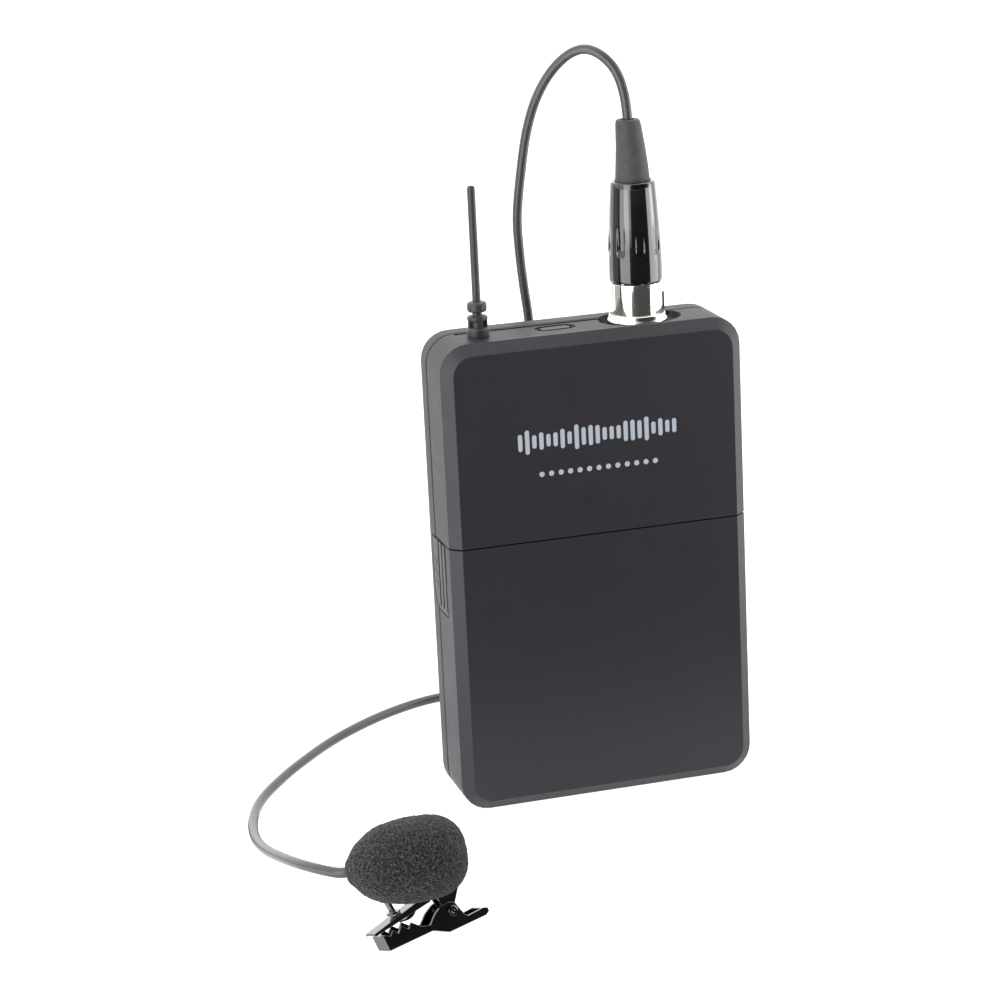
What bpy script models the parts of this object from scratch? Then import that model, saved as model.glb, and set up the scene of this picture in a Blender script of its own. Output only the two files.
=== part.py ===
"""Lavalier microphone set: beltpack transmitter, plug-in cord and tie-clip microphone.

The pack stands on its bottom face, whose centre is the origin. +X is its right side,
+Y its back and +Z up. Sizes and places are in millimetres here; the finished meshes
are written in metres.
"""
import math

import bmesh
import bpy
from mathutils import Matrix, Vector

METRE = 0.001
GAP = 0.3

# Pack
BODY_W = 63.0
BODY_H = 98.0
BODY_D = 18.0
CORNER = 5.8
CHAMFER = 2.2
CHAMFER_DEPTH = 2.0
BACK_ROUND = 1.2
WALL = 1.6
SPLIT_Z = 56.4
SPLIT_Y = 3.6
FRONT = -BODY_D / 2
BACK = BODY_D / 2
SIDE = BODY_W / 2
INNER_SIDE = SIDE - WALL
INNER_TOP = BODY_H - WALL
INNER_FRONT = FRONT + WALL
INNER_BACK = BACK - WALL

# Battery door, hinge and latches
HINGE_Y = 1.9
HINGE_Z = 1.5
KNUCKLE_R = 1.5
PIN_R = 0.5
LATCH_FRONT = -3.5
LATCH_REAR = 5.9
LATCH_LOW = 41.1
LATCH_HIGH = 55.9
LATCH_THICK = 1.5
CELL_X = 7.35
CELL_R = 7.0
CELL_LENGTH = 49.5
DECK_LOW = 4.0
DECK_HIGH = 56.6

# Top end
BUTTON_X = -5.4
BUTTON_Y = -0.4
ANTENNA_X = -21.6
ANTENNA_Y = -0.9
ANTENNA_TOP = 128.3
SOCKET_X = 12.3
SOCKET_Y = 0.3
PLUG_R = 5.2
PIN_CIRCLE = 2.3
SHELL_TOP = 105.6
SLEEVE_TOP = 126.0
BOOT_TOP = 138.3
BOOT_LEAN = 0.6

# Belt clip
CLIP_PIVOT_Y = 12.2
CLIP_PIVOT_Z = 74.0

# Microphone head: its axis runs from the cord end to the front of the windscreen
FOAM_CENTRE = Vector((-57.9, -66.2, 16.8))
MIC_HEADING = math.radians(-9.1)
MIC_PITCH = math.radians(6.9)
MIC_R = 2.8
FOAM_R = 8.0
RING_AT = -7.4

# Tie clip: x runs along the jaw to the handles, y across it, z up from its base
TIE_ORIGIN = Vector((-63.94, -69.79, 1.12))
TIE_HEADING = math.radians(22.0)
TIE_PITCH = math.radians(6.0)
TIE_ROLL = math.radians(18.0)
JAW_WIDTH = 4.0
LEVER_WIDTH = 2.5
STRIP_WIDTH = 3.2
SHEET = 0.45
RIVET_X = 15.17
RIVET_Z = 1.77
STUD_X = 4.24

# Cord
CORD_D = 2.0
COIL_CENTRE = (14.0, 41.0)
COIL_R = 12.0
COIL_BUNDLE_R = 3.8
COIL_Z = 4.6

FROM_PLUG = [
    (11.7, 0.3, 138.9), (11.3, 0.7, 143.4), (10.2, 1.7, 147.7), (8.0, 3.2, 150.8),
    (5.1, 5.2, 152.3), (2.1, 7.5, 151.1), (-1.0, 10.0, 147.5), (-3.4, 12.5, 142.3),
    (-4.8, 15.0, 136.1), (-5.6, 17.2, 129.0), (-6.3, 20.0, 118.0), (-5.8, 21.5, 110.0),
    (-4.9, 22.5, 102.0), (-3.9, 23.2, 94.0), (-2.9, 24.0, 78.0), (-2.8, 24.6, 58.0),
    (-3.2, 25.0, 40.0), (-2.6, 25.4, 27.0), (-0.6, 26.2, 17.5), (2.6, 27.1, 11.8), (6.3, 28.15, 8.95),
]
TO_MIC = [
    (9.4, 56.4, 1.15), (1.0, 59.1, 1.05), (-8.0, 60.3, 1.05), (-17.5, 60.2, 1.05), (-25.6, 57.9, 1.05),
    (-35.6, 52.2, 1.05), (-46.6, 43.2, 1.05), (-56.4, 32.4, 1.05), (-64.1, 22.3, 1.05),
    (-70.0, 12.2, 1.3), (-74.0, 0.0, 2.3), (-76.4, -14.5, 4.4), (-77.2, -29.0, 7.6),
    (-76.8, -43.0, 11.3), (-75.6, -53.5, 13.9), (-73.4, -60.2, 15.1), (-70.28, -64.08, 15.3),
]


# ---------------------------------------------------------------- frames and helpers

def turn_frame(origin, heading, pitch, roll):
    """Frame whose x axis has the heading and pitch, rolled about that axis."""
    turn = Matrix.Rotation(heading, 4, "Z") @ Matrix.Rotation(-pitch, 4, "Y")
    return Matrix.Translation(origin) @ turn @ Matrix.Rotation(-roll, 4, "X")


MIC = turn_frame(FOAM_CENTRE, MIC_HEADING, MIC_PITCH, 0.0)
TIE = turn_frame(TIE_ORIGIN, TIE_HEADING, TIE_PITCH, TIE_ROLL)
ALONG_X = Matrix.Rotation(math.radians(90), 4, "Y")
ALONG_Y = Matrix.Rotation(math.radians(-90), 4, "X")


def clear_scene():
    for obj in list(bpy.data.objects):
        bpy.data.objects.remove(obj, do_unlink=True)


def as_object(bm):
    """Link the bmesh as a new object with its faces pointing out."""
    bmesh.ops.remove_doubles(bm, verts=bm.verts, dist=1e-5)
    bmesh.ops.recalc_face_normals(bm, faces=bm.faces)
    mesh = bpy.data.meshes.new("piece")
    bm.to_mesh(mesh)
    bm.free()
    obj = bpy.data.objects.new("piece", mesh)
    bpy.context.scene.collection.objects.link(obj)
    return obj


def loft(loops):
    """Solid through loops of equal point count, closed by its first and last loop."""
    bm = bmesh.new()
    rings = [[bm.verts.new(p) for p in loop] for loop in loops]
    count = len(rings[0])
    for low, high in zip(rings, rings[1:]):
        for i in range(count):
            j = (i + 1) % count
            bm.faces.new((low[i], low[j], high[j], high[i]))
    bm.faces.new(list(reversed(rings[0])))
    bm.faces.new(rings[-1])
    return as_object(bm)


def box(x, y, z):
    """Block between the given pairs of limits."""
    loops = [[(x[0], y[0], h), (x[1], y[0], h), (x[1], y[1], h), (x[0], y[1], h)] for h in z]
    return loft(loops)


def circle(radius, count):
    return [(radius * math.cos(a), radius * math.sin(a))
            for a in (2 * math.pi * i / count for i in range(count))]


def turned(profile, place=Matrix(), count=24):
    """Solid of revolution about z through (radius, z) pairs, with flat ends."""
    loops = [[place @ Vector((x, y, z)) for x, y in circle(r, count)] for r, z in profile]
    return loft(loops)


def collar(profile, place=Matrix(), count=24):
    """Ring of revolution about z whose (radius, z) profile is a closed loop."""
    bm = bmesh.new()
    rings = [[bm.verts.new(place @ Vector((x, y, z))) for x, y in circle(r, count)]
             for r, z in profile]
    for low, high in zip(rings, rings[1:] + rings[:1]):
        for i in range(count):
            j = (i + 1) % count
            bm.faces.new((low[i], low[j], high[j], high[i]))
    return as_object(bm)


def rod(start, end, radius, count=16):
    """Round bar between two points."""
    start, end = Vector(start), Vector(end)
    turn = (end - start).to_track_quat("Z", "Y").to_matrix().to_4x4()
    place = Matrix.Translation(start) @ turn
    return turned([(radius, 0.0), (radius, (end - start).length)], place, count)


def slab(outline, low, high, place=Matrix()):
    """Plate whose outline lies in x and y, between two heights."""
    return loft([[place @ Vector((x, y, z)) for x, y in outline] for z in (low, high)])


def side_slab(outline, low, high, place=Matrix()):
    """Plate whose outline lies in x and z, between two depths."""
    return loft([[place @ Vector((x, y, z)) for x, z in outline] for y in (low, high)])


def rounded(width, height, radius, centre=(0.0, 0.0), steps=6):
    """Rounded rectangle as a list of points."""
    points = []
    for quarter, (sx, sy) in enumerate(((1, 1), (-1, 1), (-1, -1), (1, -1))):
        cx = centre[0] + sx * (width / 2 - radius)
        cy = centre[1] + sy * (height / 2 - radius)
        for i in range(steps + 1):
            a = math.pi / 2 * (quarter + i / steps)
            points.append((cx + radius * math.cos(a), cy + radius * math.sin(a)))
    return points


def sweep(points, radius, sides=5):
    """Round bar of constant thickness through the points."""
    points = [Vector(p) for p in points]
    normal = None
    loops = []
    for i, p in enumerate(points):
        ahead = points[min(i + 1, len(points) - 1)]
        behind = points[max(i - 1, 0)]
        tangent = (ahead - behind).normalized()
        if normal is None:
            normal = tangent.orthogonal().normalized()
        normal = (normal - tangent * normal.dot(tangent)).normalized()
        across = tangent.cross(normal)
        loops.append([p + radius * (math.cos(a) * normal + math.sin(a) * across)
                      for a in (2 * math.pi * k / sides for k in range(sides))])
    return loft(loops)


def helix(radius, low, high, turns, place, per_turn=8):
    """Points of a coil about z."""
    count = int(turns * per_turn)
    return [place @ Vector((radius * math.cos(2 * math.pi * i / per_turn),
                            radius * math.sin(2 * math.pi * i / per_turn),
                            low + (high - low) * i / count)) for i in range(count + 1)]


def combine(obj, others, operation):
    """Boolean the others into the object, one by one, and remove them."""
    for other in others:
        step = obj.modifiers.new(operation, "BOOLEAN")
        step.operation = operation
        step.solver = "EXACT"
        step.object = other
        graph = bpy.context.evaluated_depsgraph_get()
        mesh = bpy.data.meshes.new_from_object(obj.evaluated_get(graph))
        obj.modifiers.clear()
        obj.data = mesh
        bpy.data.objects.remove(other, do_unlink=True)
    return obj


def cut(obj, *others):
    return combine(obj, others, "DIFFERENCE")


def join(obj, *others):
    return combine(obj, others, "UNION")


def keep(obj, other):
    return combine(obj, [other], "INTERSECT")


def material(name, colour, roughness, metallic):
    look = bpy.data.materials.new(name)
    look.use_nodes = True
    shader = look.node_tree.nodes["Principled BSDF"]
    shader.inputs["Base Color"].default_value = (*colour, 1.0)
    shader.inputs["Roughness"].default_value = roughness
    shader.inputs["Metallic"].default_value = metallic
    return look


def finish(obj, name, look, pivot=(0.0, 0.0, 0.0)):
    """Name the piece, give it its own material and put its origin at the pivot."""
    colour, roughness, metallic = look
    mesh = obj.data
    mesh.transform(Matrix.Scale(METRE, 4) @ Matrix.Translation(-Vector(pivot)))
    obj.location = Vector(pivot) * METRE
    bm = bmesh.new()
    bm.from_mesh(mesh)
    bmesh.ops.dissolve_degenerate(bm, edges=bm.edges, dist=1e-7)
    bm.to_mesh(mesh)
    bm.free()
    mesh.shade_smooth()
    mesh.set_sharp_from_angle(angle=math.radians(35))
    mesh.materials.clear()
    mesh.materials.append(material(name, colour, roughness, metallic))
    obj.name = name
    mesh.name = name
    return obj


CASE = ((0.035, 0.035, 0.038), 0.5, 0.0)
PANEL = ((0.028, 0.028, 0.031), 0.55, 0.0)
RUBBER = ((0.03, 0.03, 0.033), 0.6, 0.0)
GLOSS = ((0.008, 0.008, 0.01), 0.12, 0.0)
NICKEL = ((0.78, 0.76, 0.72), 0.14, 1.0)
STEEL = ((0.55, 0.55, 0.56), 0.32, 1.0)
BLACKED = ((0.012, 0.012, 0.013), 0.28, 0.6)
BRASS = ((0.75, 0.58, 0.3), 0.3, 1.0)
BOARD = ((0.01, 0.12, 0.05), 0.45, 0.0)
CELL = ((0.1, 0.1, 0.11), 0.35, 0.3)
FOAM = ((0.045, 0.045, 0.05), 0.95, 0.0)
CORD = ((0.02, 0.02, 0.022), 0.45, 0.0)
TIE_WRAP = ((0.03, 0.03, 0.03), 0.5, 0.0)


# ---------------------------------------------------------------- case

def body_loop(inset, depth, radius=None):
    """Outline of the pack at one depth, drawn in by the inset."""
    radius = max(CORNER - inset, 1.0) if radius is None else radius
    outline = rounded(BODY_W - 2 * inset, BODY_H - 2 * inset, radius, (0.0, BODY_H / 2))
    return [(x, depth, z) for x, z in outline]


def case_front_solid():
    """Front part of the pack: flat panel, wide chamfer, straight sides."""
    edge = SPLIT_Y - GAP / 2
    return loft([body_loop(CHAMFER, FRONT, CORNER - CHAMFER + 0.4),
                 body_loop(0.0, FRONT + CHAMFER_DEPTH), body_loop(0.0, edge - 0.3),
                 body_loop(0.25, edge)])


def case_back_solid():
    """Back part of the pack, with a rounded rear edge."""
    edge = SPLIT_Y + GAP / 2
    turn = [(0.0, 0.0), (0.15, 0.5), (0.5, 0.85), (1.0, 1.0)]
    rounding = [body_loop(BACK_ROUND * i, BACK - BACK_ROUND + BACK_ROUND * d) for i, d in turn]
    return loft([body_loop(0.25, edge), body_loop(0.0, edge + 0.3)] + rounding)


def hollow(low, high):
    """Room inside the walls between two depths."""
    return loft([body_loop(WALL, low), body_loop(WALL, high)])


def stadium(length, width, centre):
    return rounded(length, width, width / 2 - 0.01, centre, 5)


def dish():
    """Oval dish around the socket, with steep walls and a flat floor."""
    place = Matrix.Translation((SOCKET_X + 0.4, SOCKET_Y, 0.0))
    rim = [place @ Vector((8.9 * x, 6.9 * y, BODY_H + 0.4)) for x, y in circle(1.0, 40)]
    lip = [place @ Vector((8.6 * x, 6.7 * y, BODY_H - 0.1)) for x, y in circle(1.0, 40)]
    floor = [place @ Vector((8.1 * x, 6.35 * y, BODY_H - 1.1)) for x, y in circle(1.0, 40)]
    return loft([floor, lip, rim])


def plate_outline():
    """Leaf-shaped inset of the top face: pointed at its left rear corner, it runs into the dish."""
    rear = SPLIT_Y - 0.7
    curve = [(-25.8 + 6.2 * t, rear - 8.9 * t ** 0.6) for t in (0.05, 0.15, 0.35, 0.65, 1.0)]
    return [(8.5, rear), (-25.8, rear)] + curve + [(8.5, rear - 8.9)]


SCREWS = [(-27.0, 91.0), (27.0, 91.0), (-27.0, 61.0), (27.0, 61.0)]


def front_shell():
    shell = case_front_solid()
    shell = keep(shell, box((-40, 40), (-20, 20), (SPLIT_Z + GAP / 2, 120)))
    cut(shell, hollow(INNER_FRONT, 20.0))
    for x, z in SCREWS:
        join(shell, rod((x, INNER_FRONT - 0.5, z), (x, 1.9, z), 2.4))
        cut(shell, rod((x, -5.0, z), (x, 10.0, z), 1.3, 12))
    cut(shell, slab(plate_outline(), BODY_H - 0.7, BODY_H + 1))
    cut(shell, dish())
    cut(shell, slab(stadium(7.0, 3.1, (BUTTON_X, BUTTON_Y)), 90, 100))
    cut(shell, rod((ANTENNA_X, ANTENNA_Y, 90), (ANTENNA_X, ANTENNA_Y, 100), 1.1))
    cut(shell, rod((SOCKET_X, SOCKET_Y, 90), (SOCKET_X, SOCKET_Y, 100), 6.1, 40))
    return finish(shell, "front_shell", CASE)


def top_plate():
    plate = slab(plate_outline(), BODY_H - 0.55, BODY_H - 0.12)
    plate = keep(plate, box((-25.2, 8.3), (-5.85, 2.6), (90, 99)))
    cut(plate, dish())
    cut(plate, slab(stadium(8.2, 4.2, (BUTTON_X, BUTTON_Y)), BODY_H - 0.3, BODY_H + 1))
    cut(plate, slab(stadium(7.0, 3.1, (BUTTON_X, BUTTON_Y)), 90, 100))
    cut(plate, rod((ANTENNA_X, ANTENNA_Y, 90), (ANTENNA_X, ANTENNA_Y, 100), 1.1))
    return finish(plate, "top_plate", CASE)


def latch_window(side, grow):
    """Opening for one latch tab, rounded at its lower rear corner."""
    low, high = LATCH_LOW - grow, LATCH_HIGH + grow
    front, rear = LATCH_FRONT - grow, LATCH_REAR + grow
    bend = 4.0
    arc = [(rear - bend + bend * math.cos(a), low + bend - bend * math.sin(a))
           for a in (math.radians(18 * i) for i in range(6))]
    outline = [(front, low), (front, high), (rear, high)] + arc
    inner, outer = sorted((side * (SIDE - LATCH_THICK), side * SIDE))
    return outline, inner, outer


def latch_block(side, grow, reach=0.0):
    outline, inner, outer = latch_window(side, grow)
    loops = [[(x, y, z) for y, z in outline] for x in (inner - reach, outer + reach)]
    return loft(loops)


def rear_shell():
    shell = case_back_solid()
    cut(shell, hollow(-20.0, INNER_BACK))
    tongue = loft([body_loop(WALL + GAP, 2.2), body_loop(WALL + GAP, INNER_BACK + 0.4)])
    cut(tongue, loft([body_loop(WALL + GAP + 0.8, -5.0), body_loop(WALL + GAP + 0.8, 20.0)]))
    link = loft([body_loop(WALL - 0.4, 5.2), body_loop(WALL - 0.4, INNER_BACK + 0.4)])
    cut(link, loft([body_loop(WALL + GAP + 0.4, -5.0), body_loop(WALL + GAP + 0.4, 20.0)]))
    join(tongue, link)
    join(shell, tongue)
    for x, room in ((SOCKET_X, 7.8), (ANTENNA_X, 3.4)):
        cut(shell, box((x - room, x + room), (-20.0, 7.3), (85.0, INNER_TOP - 0.1)))
    cut(shell, dish())
    cut(shell, rod((SOCKET_X, SOCKET_Y, 90), (SOCKET_X, SOCKET_Y, 100), 6.1, 40))
    cut(shell, box((-29.0, 29.0), (-20.0, 4.4), (-1.0, 8.5)))
    cut(shell, box((-40.0, -24.0), (-20.0, 4.0), (-1.0, 8.5)))
    cut(shell, box((24.0, 40.0), (-20.0, 3.7), (-1.0, 8.5)))
    for side in (-1, 1):
        cut(shell, latch_block(side, GAP, 3.0))
        post_x = sorted((side * 28.7, side * 27.95))
        lip_x = sorted((side * 28.2, side * 27.85))
        join(shell, box(post_x, (4.2, INNER_BACK + 0.5), (44.0, 47.0)))
        join(shell, box(lip_x, (4.2, 5.0), (44.0, 47.0)))
        rib_x = sorted((side * 15.0, side * 15.8))
        join(shell, box(rib_x, (-1.0, INNER_BACK + 0.5), (DECK_LOW - 0.3, DECK_HIGH + 0.3)))
        lug_x = sorted((side * 20.3, side * 23.7))
        lug = rod((lug_x[0], HINGE_Y, HINGE_Z), (lug_x[1], HINGE_Y, HINGE_Z), KNUCKLE_R - 0.2, 20)
        join(lug, box(lug_x, (HINGE_Y, INNER_BACK + 0.5), (HINGE_Z - 0.9, HINGE_Z + 0.9)))
        join(shell, lug)
        cut(shell, rod((lug_x[0] - 1, HINGE_Y, HINGE_Z), (lug_x[1] + 1, HINGE_Y, HINGE_Z), PIN_R + 0.2, 10))
    join(shell, box((-15.8, 15.8), (-6.6, INNER_BACK + 0.5), (DECK_LOW - 0.7, DECK_LOW)))
    join(shell, box((-15.8, 15.8), (-6.6, INNER_BACK + 0.5), (DECK_HIGH, DECK_HIGH + 0.8)))
    for x, z in SCREWS:
        join(shell, rod((x, 4.0, z), (x, INNER_BACK + 0.5, z), 3.3, 20))
        cut(shell, rod((x, -5.0, z), (x, 20.0, z), 1.3, 12), rod((x, 7.3, z), (x, 20.0, z), 2.5, 20))
    for side in (-1, 1):
        ear_x = sorted((side * 9.0, side * 10.6))
        ear = box(ear_x, (BACK - 0.5, CLIP_PIVOT_Y), (CLIP_PIVOT_Z - 3.2, CLIP_PIVOT_Z + 3.2))
        join(ear, rod((ear_x[0], CLIP_PIVOT_Y, CLIP_PIVOT_Z), (ear_x[1], CLIP_PIVOT_Y, CLIP_PIVOT_Z), 2.2))
        join(shell, ear)
        hole = ((ear_x[0] - 1, CLIP_PIVOT_Y, CLIP_PIVOT_Z), (ear_x[1] + 1, CLIP_PIVOT_Y, CLIP_PIVOT_Z))
        cut(shell, rod(*hole, 1.2, 16))
    return finish(shell, "rear_shell", CASE)


def battery_door():
    door = case_front_solid()
    door = keep(door, box((-40, 40), (-20, 20), (-5, SPLIT_Z - GAP / 2)))
    cut(door, hollow(INNER_FRONT, 20.0))
    corner = box((-40, 40), (HINGE_Y, 10), (-5, HINGE_Z))
    nose = rod((-41, HINGE_Y, HINGE_Z), (41, HINGE_Y, HINGE_Z), KNUCKLE_R, 32)
    cut(corner, nose)
    cut(door, corner)
    for side in (-1, 1):
        for near, far in ((16.5, 20.0), (24.0, 29.0)):
            limits = sorted((side * near, side * far))
            join(door, rod((limits[0], HINGE_Y, HINGE_Z), (limits[1], HINGE_Y, HINGE_Z), KNUCKLE_R - 0.05, 16))
        lug_x = sorted((side * 20.0, side * 24.0))
        cut(door, box(lug_x, (0.1, 10.0), (-1.0, 4.0)))
        bore = sorted((side * 16.0, side * 28.6))
        cut(door, rod((bore[0], HINGE_Y, HINGE_Z), (bore[1], HINGE_Y, HINGE_Z), PIN_R + 0.2, 10))
        cut(door, latch_block(side, GAP, 1.0))
        seat_x = sorted((side * 26.2, side * 25.2))
        join(door, box(seat_x, (INNER_FRONT - 0.5, 1.2), (45.4, 51.6)))
    return finish(door, "battery_door", CASE, (0.0, HINGE_Y, HINGE_Z))


def latch_tab(side, name):
    tab = latch_block(side, 0.0)
    for k in range(3):
        y = -3.1 + 2.5 * k
        x = sorted((side * (SIDE - 0.45), side * (SIDE + 1.0)))
        cut(tab, box(x, (y - 0.41, y + 0.41), (LATCH_LOW + 0.9, LATCH_HIGH + 1.0)))
    flange_x = sorted((side * (INNER_SIDE - 0.15), side * (INNER_SIDE - 0.65)))
    stem_x = sorted((side * (SIDE - LATCH_THICK + 0.2), side * (INNER_SIDE - 0.4)))
    join(tab, box(stem_x, (LATCH_FRONT + 0.4, 1.6), (LATCH_LOW + 0.4, LATCH_HIGH - 0.4)))
    join(tab, box(flange_x, (LATCH_FRONT - 0.7, 1.6), (LATCH_LOW - 0.7, LATCH_HIGH - 0.3)))
    arm_x = sorted((side * 30.1, side * 26.8))
    finger_x = sorted((side * 27.6, side * 26.8))
    join(tab, box(arm_x, (5.35, 5.8), (49.5, 52.5)), box(finger_x, (5.35, 5.8), (44.3, 52.5)))
    return finish(tab, name, CASE, (side * SIDE, 0.0, 48.5))


def latch_spring(side, name):
    place = Matrix.Translation((side * 26.35, -1.0, 48.5)) @ Matrix.Rotation(side * math.pi / 2, 4, "Y")
    return finish(sweep(helix(1.3, 0.25, 2.55, 3, place), 0.18), name, STEEL)


def hinge_pin(side, name):
    limits = (side * 16.6, side * 28.2)
    pin = rod((limits[0], HINGE_Y, HINGE_Z), (limits[1], HINGE_Y, HINGE_Z), PIN_R, 16)
    return finish(pin, name, STEEL, (side * 22.0, HINGE_Y, HINGE_Z))


def case_screw(index):
    x, z = SCREWS[index]
    place = Matrix.Translation((x, 7.7, z)) @ ALONG_Y
    screw = turned([(1.0, -9.5), (1.0, 0.0), (2.2, 0.01), (2.2, 1.0)], place, 24)
    cut(screw, box((x - 1.5, x + 1.5), (8.2, 10), (z - 0.25, z + 0.25)))
    cut(screw, box((x - 0.25, x + 0.25), (8.2, 10), (z - 1.5, z + 1.5)))
    return finish(screw, f"case_screw_{index + 1}", STEEL)


def belt_clip():
    """Sprung clip on the back: a lever on a pin, with a thumb pad above and a hook below."""
    profile = [(10.5, 84.0), (12.0, 84.6), (13.2, 80.0), (14.6, 74.0), (15.2, 60.0), (14.6, 46.0),
               (12.6, 39.0), (11.4, 37.4), (10.0, 38.0), (11.0, 40.6), (12.6, 47.0), (13.4, 60.0),
               (12.9, 69.8), (10.9, 71.5), (10.4, 76.5), (11.2, 80.0)]
    clip = loft([[(x, y, z) for y, z in profile] for x in (-8.4, 8.4)])
    pivot = (CLIP_PIVOT_Y, CLIP_PIVOT_Z)
    cut(clip, rod((-10, *pivot), (10, *pivot), 1.2, 16))
    cut(clip, box((-3.4, 3.4), (9.0, 14.2), (CLIP_PIVOT_Z - 4.6, CLIP_PIVOT_Z + 2.9)))
    return finish(clip, "belt_clip", CASE, (0.0, *pivot))


def belt_clip_pin():
    pivot = (CLIP_PIVOT_Y, CLIP_PIVOT_Z)
    return finish(rod((-10.9, *pivot), (10.9, *pivot), 0.9, 16), "belt_clip_pin", STEEL, (0.0, *pivot))


def belt_clip_spring():
    place = Matrix.Translation((-2.4, CLIP_PIVOT_Y, CLIP_PIVOT_Z)) @ ALONG_X
    coil = sweep(helix(1.55, 0.0, 4.8, 5, place), 0.3)
    return finish(coil, "belt_clip_spring", STEEL)


# ---------------------------------------------------------------- inside the pack

def battery_cell(side, name):
    """AA cell: the left one has its button up, the right one down."""
    base = 6.5 if side < 0 else 54.15
    way = 1 if side < 0 else -1
    profile = [(6.3, 0.0), (CELL_R, 0.5), (CELL_R, CELL_LENGTH - 1.6), (6.2, CELL_LENGTH - 1.0),
               (2.65, CELL_LENGTH - 0.99), (2.65, CELL_LENGTH)]
    profile = [(r, base + way * z) for r, z in profile]
    place = Matrix.Translation((side * CELL_X, 0.0, 0.0))
    return finish(turned(profile, place, 28), name, CELL)


def contact_plates():
    low, high = DECK_LOW + 0.1, DECK_HIGH - 0.1
    finish(box((-12.0, 12.0), (-3.0, 3.0), (low, low + 0.3)), "contact_bridge", STEEL)
    for side, name in ((-1, "contact_plate_left"), (1, "contact_plate_right")):
        limits = sorted((side * 3.8, side * 11.0))
        finish(box(limits, (-3.6, 3.6), (high - 0.3, high)), name, STEEL)
    lower = Matrix.Translation((-CELL_X, 0.0, 4.75))
    upper = Matrix.Translation((CELL_X, 0.0, 54.5))
    finish(sweep(helix(2.8, 0.0, 1.4, 3, lower), 0.22), "contact_spring_lower", STEEL)
    finish(sweep(helix(2.8, 0.0, 1.3, 3, upper), 0.22), "contact_spring_upper", STEEL)


def electronics():
    outline = [(-19.0, 58.4), (23.0, 58.4), (23.0, 82.0), (3.0, 82.0), (3.0, 90.0), (-19.0, 90.0)]
    board = side_slab(outline, 4.3, 5.5)
    finish(board, "circuit_board", BOARD)
    finish(box((-15.0, 3.0), (1.3, 4.0), (62.0, 78.0)), "rf_shield", STEEL)
    switch = box((BUTTON_X - 3.0, BUTTON_X + 3.0), (BUTTON_Y - 3.0, 4.0), (90.4, 94.2))
    join(switch, rod((BUTTON_X, BUTTON_Y, 94.0), (BUTTON_X, BUTTON_Y, 94.9), 1.2))
    finish(switch, "tact_switch", RUBBER)


def power_button():
    centre = (BUTTON_X, BUTTON_Y)
    key = loft([[(x, y, z) for x, y in stadium(6.4 - d, 2.5 - d, centre)]
                for d, z in ((0.0, 95.5), (0.0, 97.65), (0.3, 97.85))])
    join(key, slab(stadium(7.6, 3.7, centre), 95.5, 96.0))
    return finish(key, "power_button", CASE, (*centre, 95.5))


# ---------------------------------------------------------------- antenna, socket, plug

def antenna():
    place = Matrix.Translation((ANTENNA_X, ANTENNA_Y, 0.0))
    barrel = collar([(1.05, 98.2), (2.1, 98.2), (2.2, 98.9), (2.15, 99.4), (2.05, 101.9), (1.9, 102.1),
                     (1.05, 102.1)], place)
    for k in range(4):
        a = math.pi / 4 + math.pi / 2 * k
        turn = place @ Matrix.Rotation(a, 4, "Z")
        window = slab([(1.5, -0.75), (3.0, -0.75), (3.0, 0.75), (1.5, 0.75)], 99.9, 101.3, turn)
        cut(barrel, window)
    finish(barrel, "antenna_barrel", RUBBER)
    bead = collar([(1.05, 103.0), (1.7, 103.0), (1.95, 103.3), (1.95, 104.6), (1.7, 104.9),
                   (1.05, 104.9)], place)
    finish(bead, "antenna_collar", RUBBER)
    whip = turned([(0.8, 88.0), (0.8, ANTENNA_TOP - 0.2), (0.65, ANTENNA_TOP)], place, 20)
    finish(whip, "antenna_whip", RUBBER)
    seat = collar([(1.1, 91.0), (1.9, 91.0), (1.9, 94.0), (3.0, 94.01), (3.0, 96.0), (1.1, 96.0)], place)
    finish(seat, "antenna_socket", BRASS)


def pin_places():
    for k in range(3):
        a = math.radians(30 + 120 * k)
        yield SOCKET_X + PIN_CIRCLE * math.cos(a), SOCKET_Y + PIN_CIRCLE * math.sin(a)


def socket():
    place = Matrix.Translation((SOCKET_X, SOCKET_Y, 0.0))
    shell = collar([(5.4, 84.0), (5.8, 84.0), (5.8, 97.5), (5.95, 97.8), (5.95, 98.35), (5.75, 98.6),
                    (5.5, 98.6), (5.4, 98.4)], place, 28)
    finish(shell, "socket_shell", NICKEL)
    nut = collar([(6.1, 93.2), (7.0, 93.2), (7.0, 95.7), (6.1, 95.7)], place, 24)
    finish(nut, "socket_nut", NICKEL)
    insulator = turned([(5.1, 84.2), (5.1, 87.4)], place, 24)
    for x, y in pin_places():
        cut(insulator, rod((x, y, 80), (x, y, 90), 0.65, 16))
    finish(insulator, "socket_insulator", RUBBER)
    for k, (x, y) in enumerate(pin_places()):
        pin = turned([(0.45, 82.4), (0.45, 93.0), (0.25, 93.4)], Matrix.Translation((x, y, 0)), 14)
        finish(pin, f"socket_pin_{k + 1}", BRASS)


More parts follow.
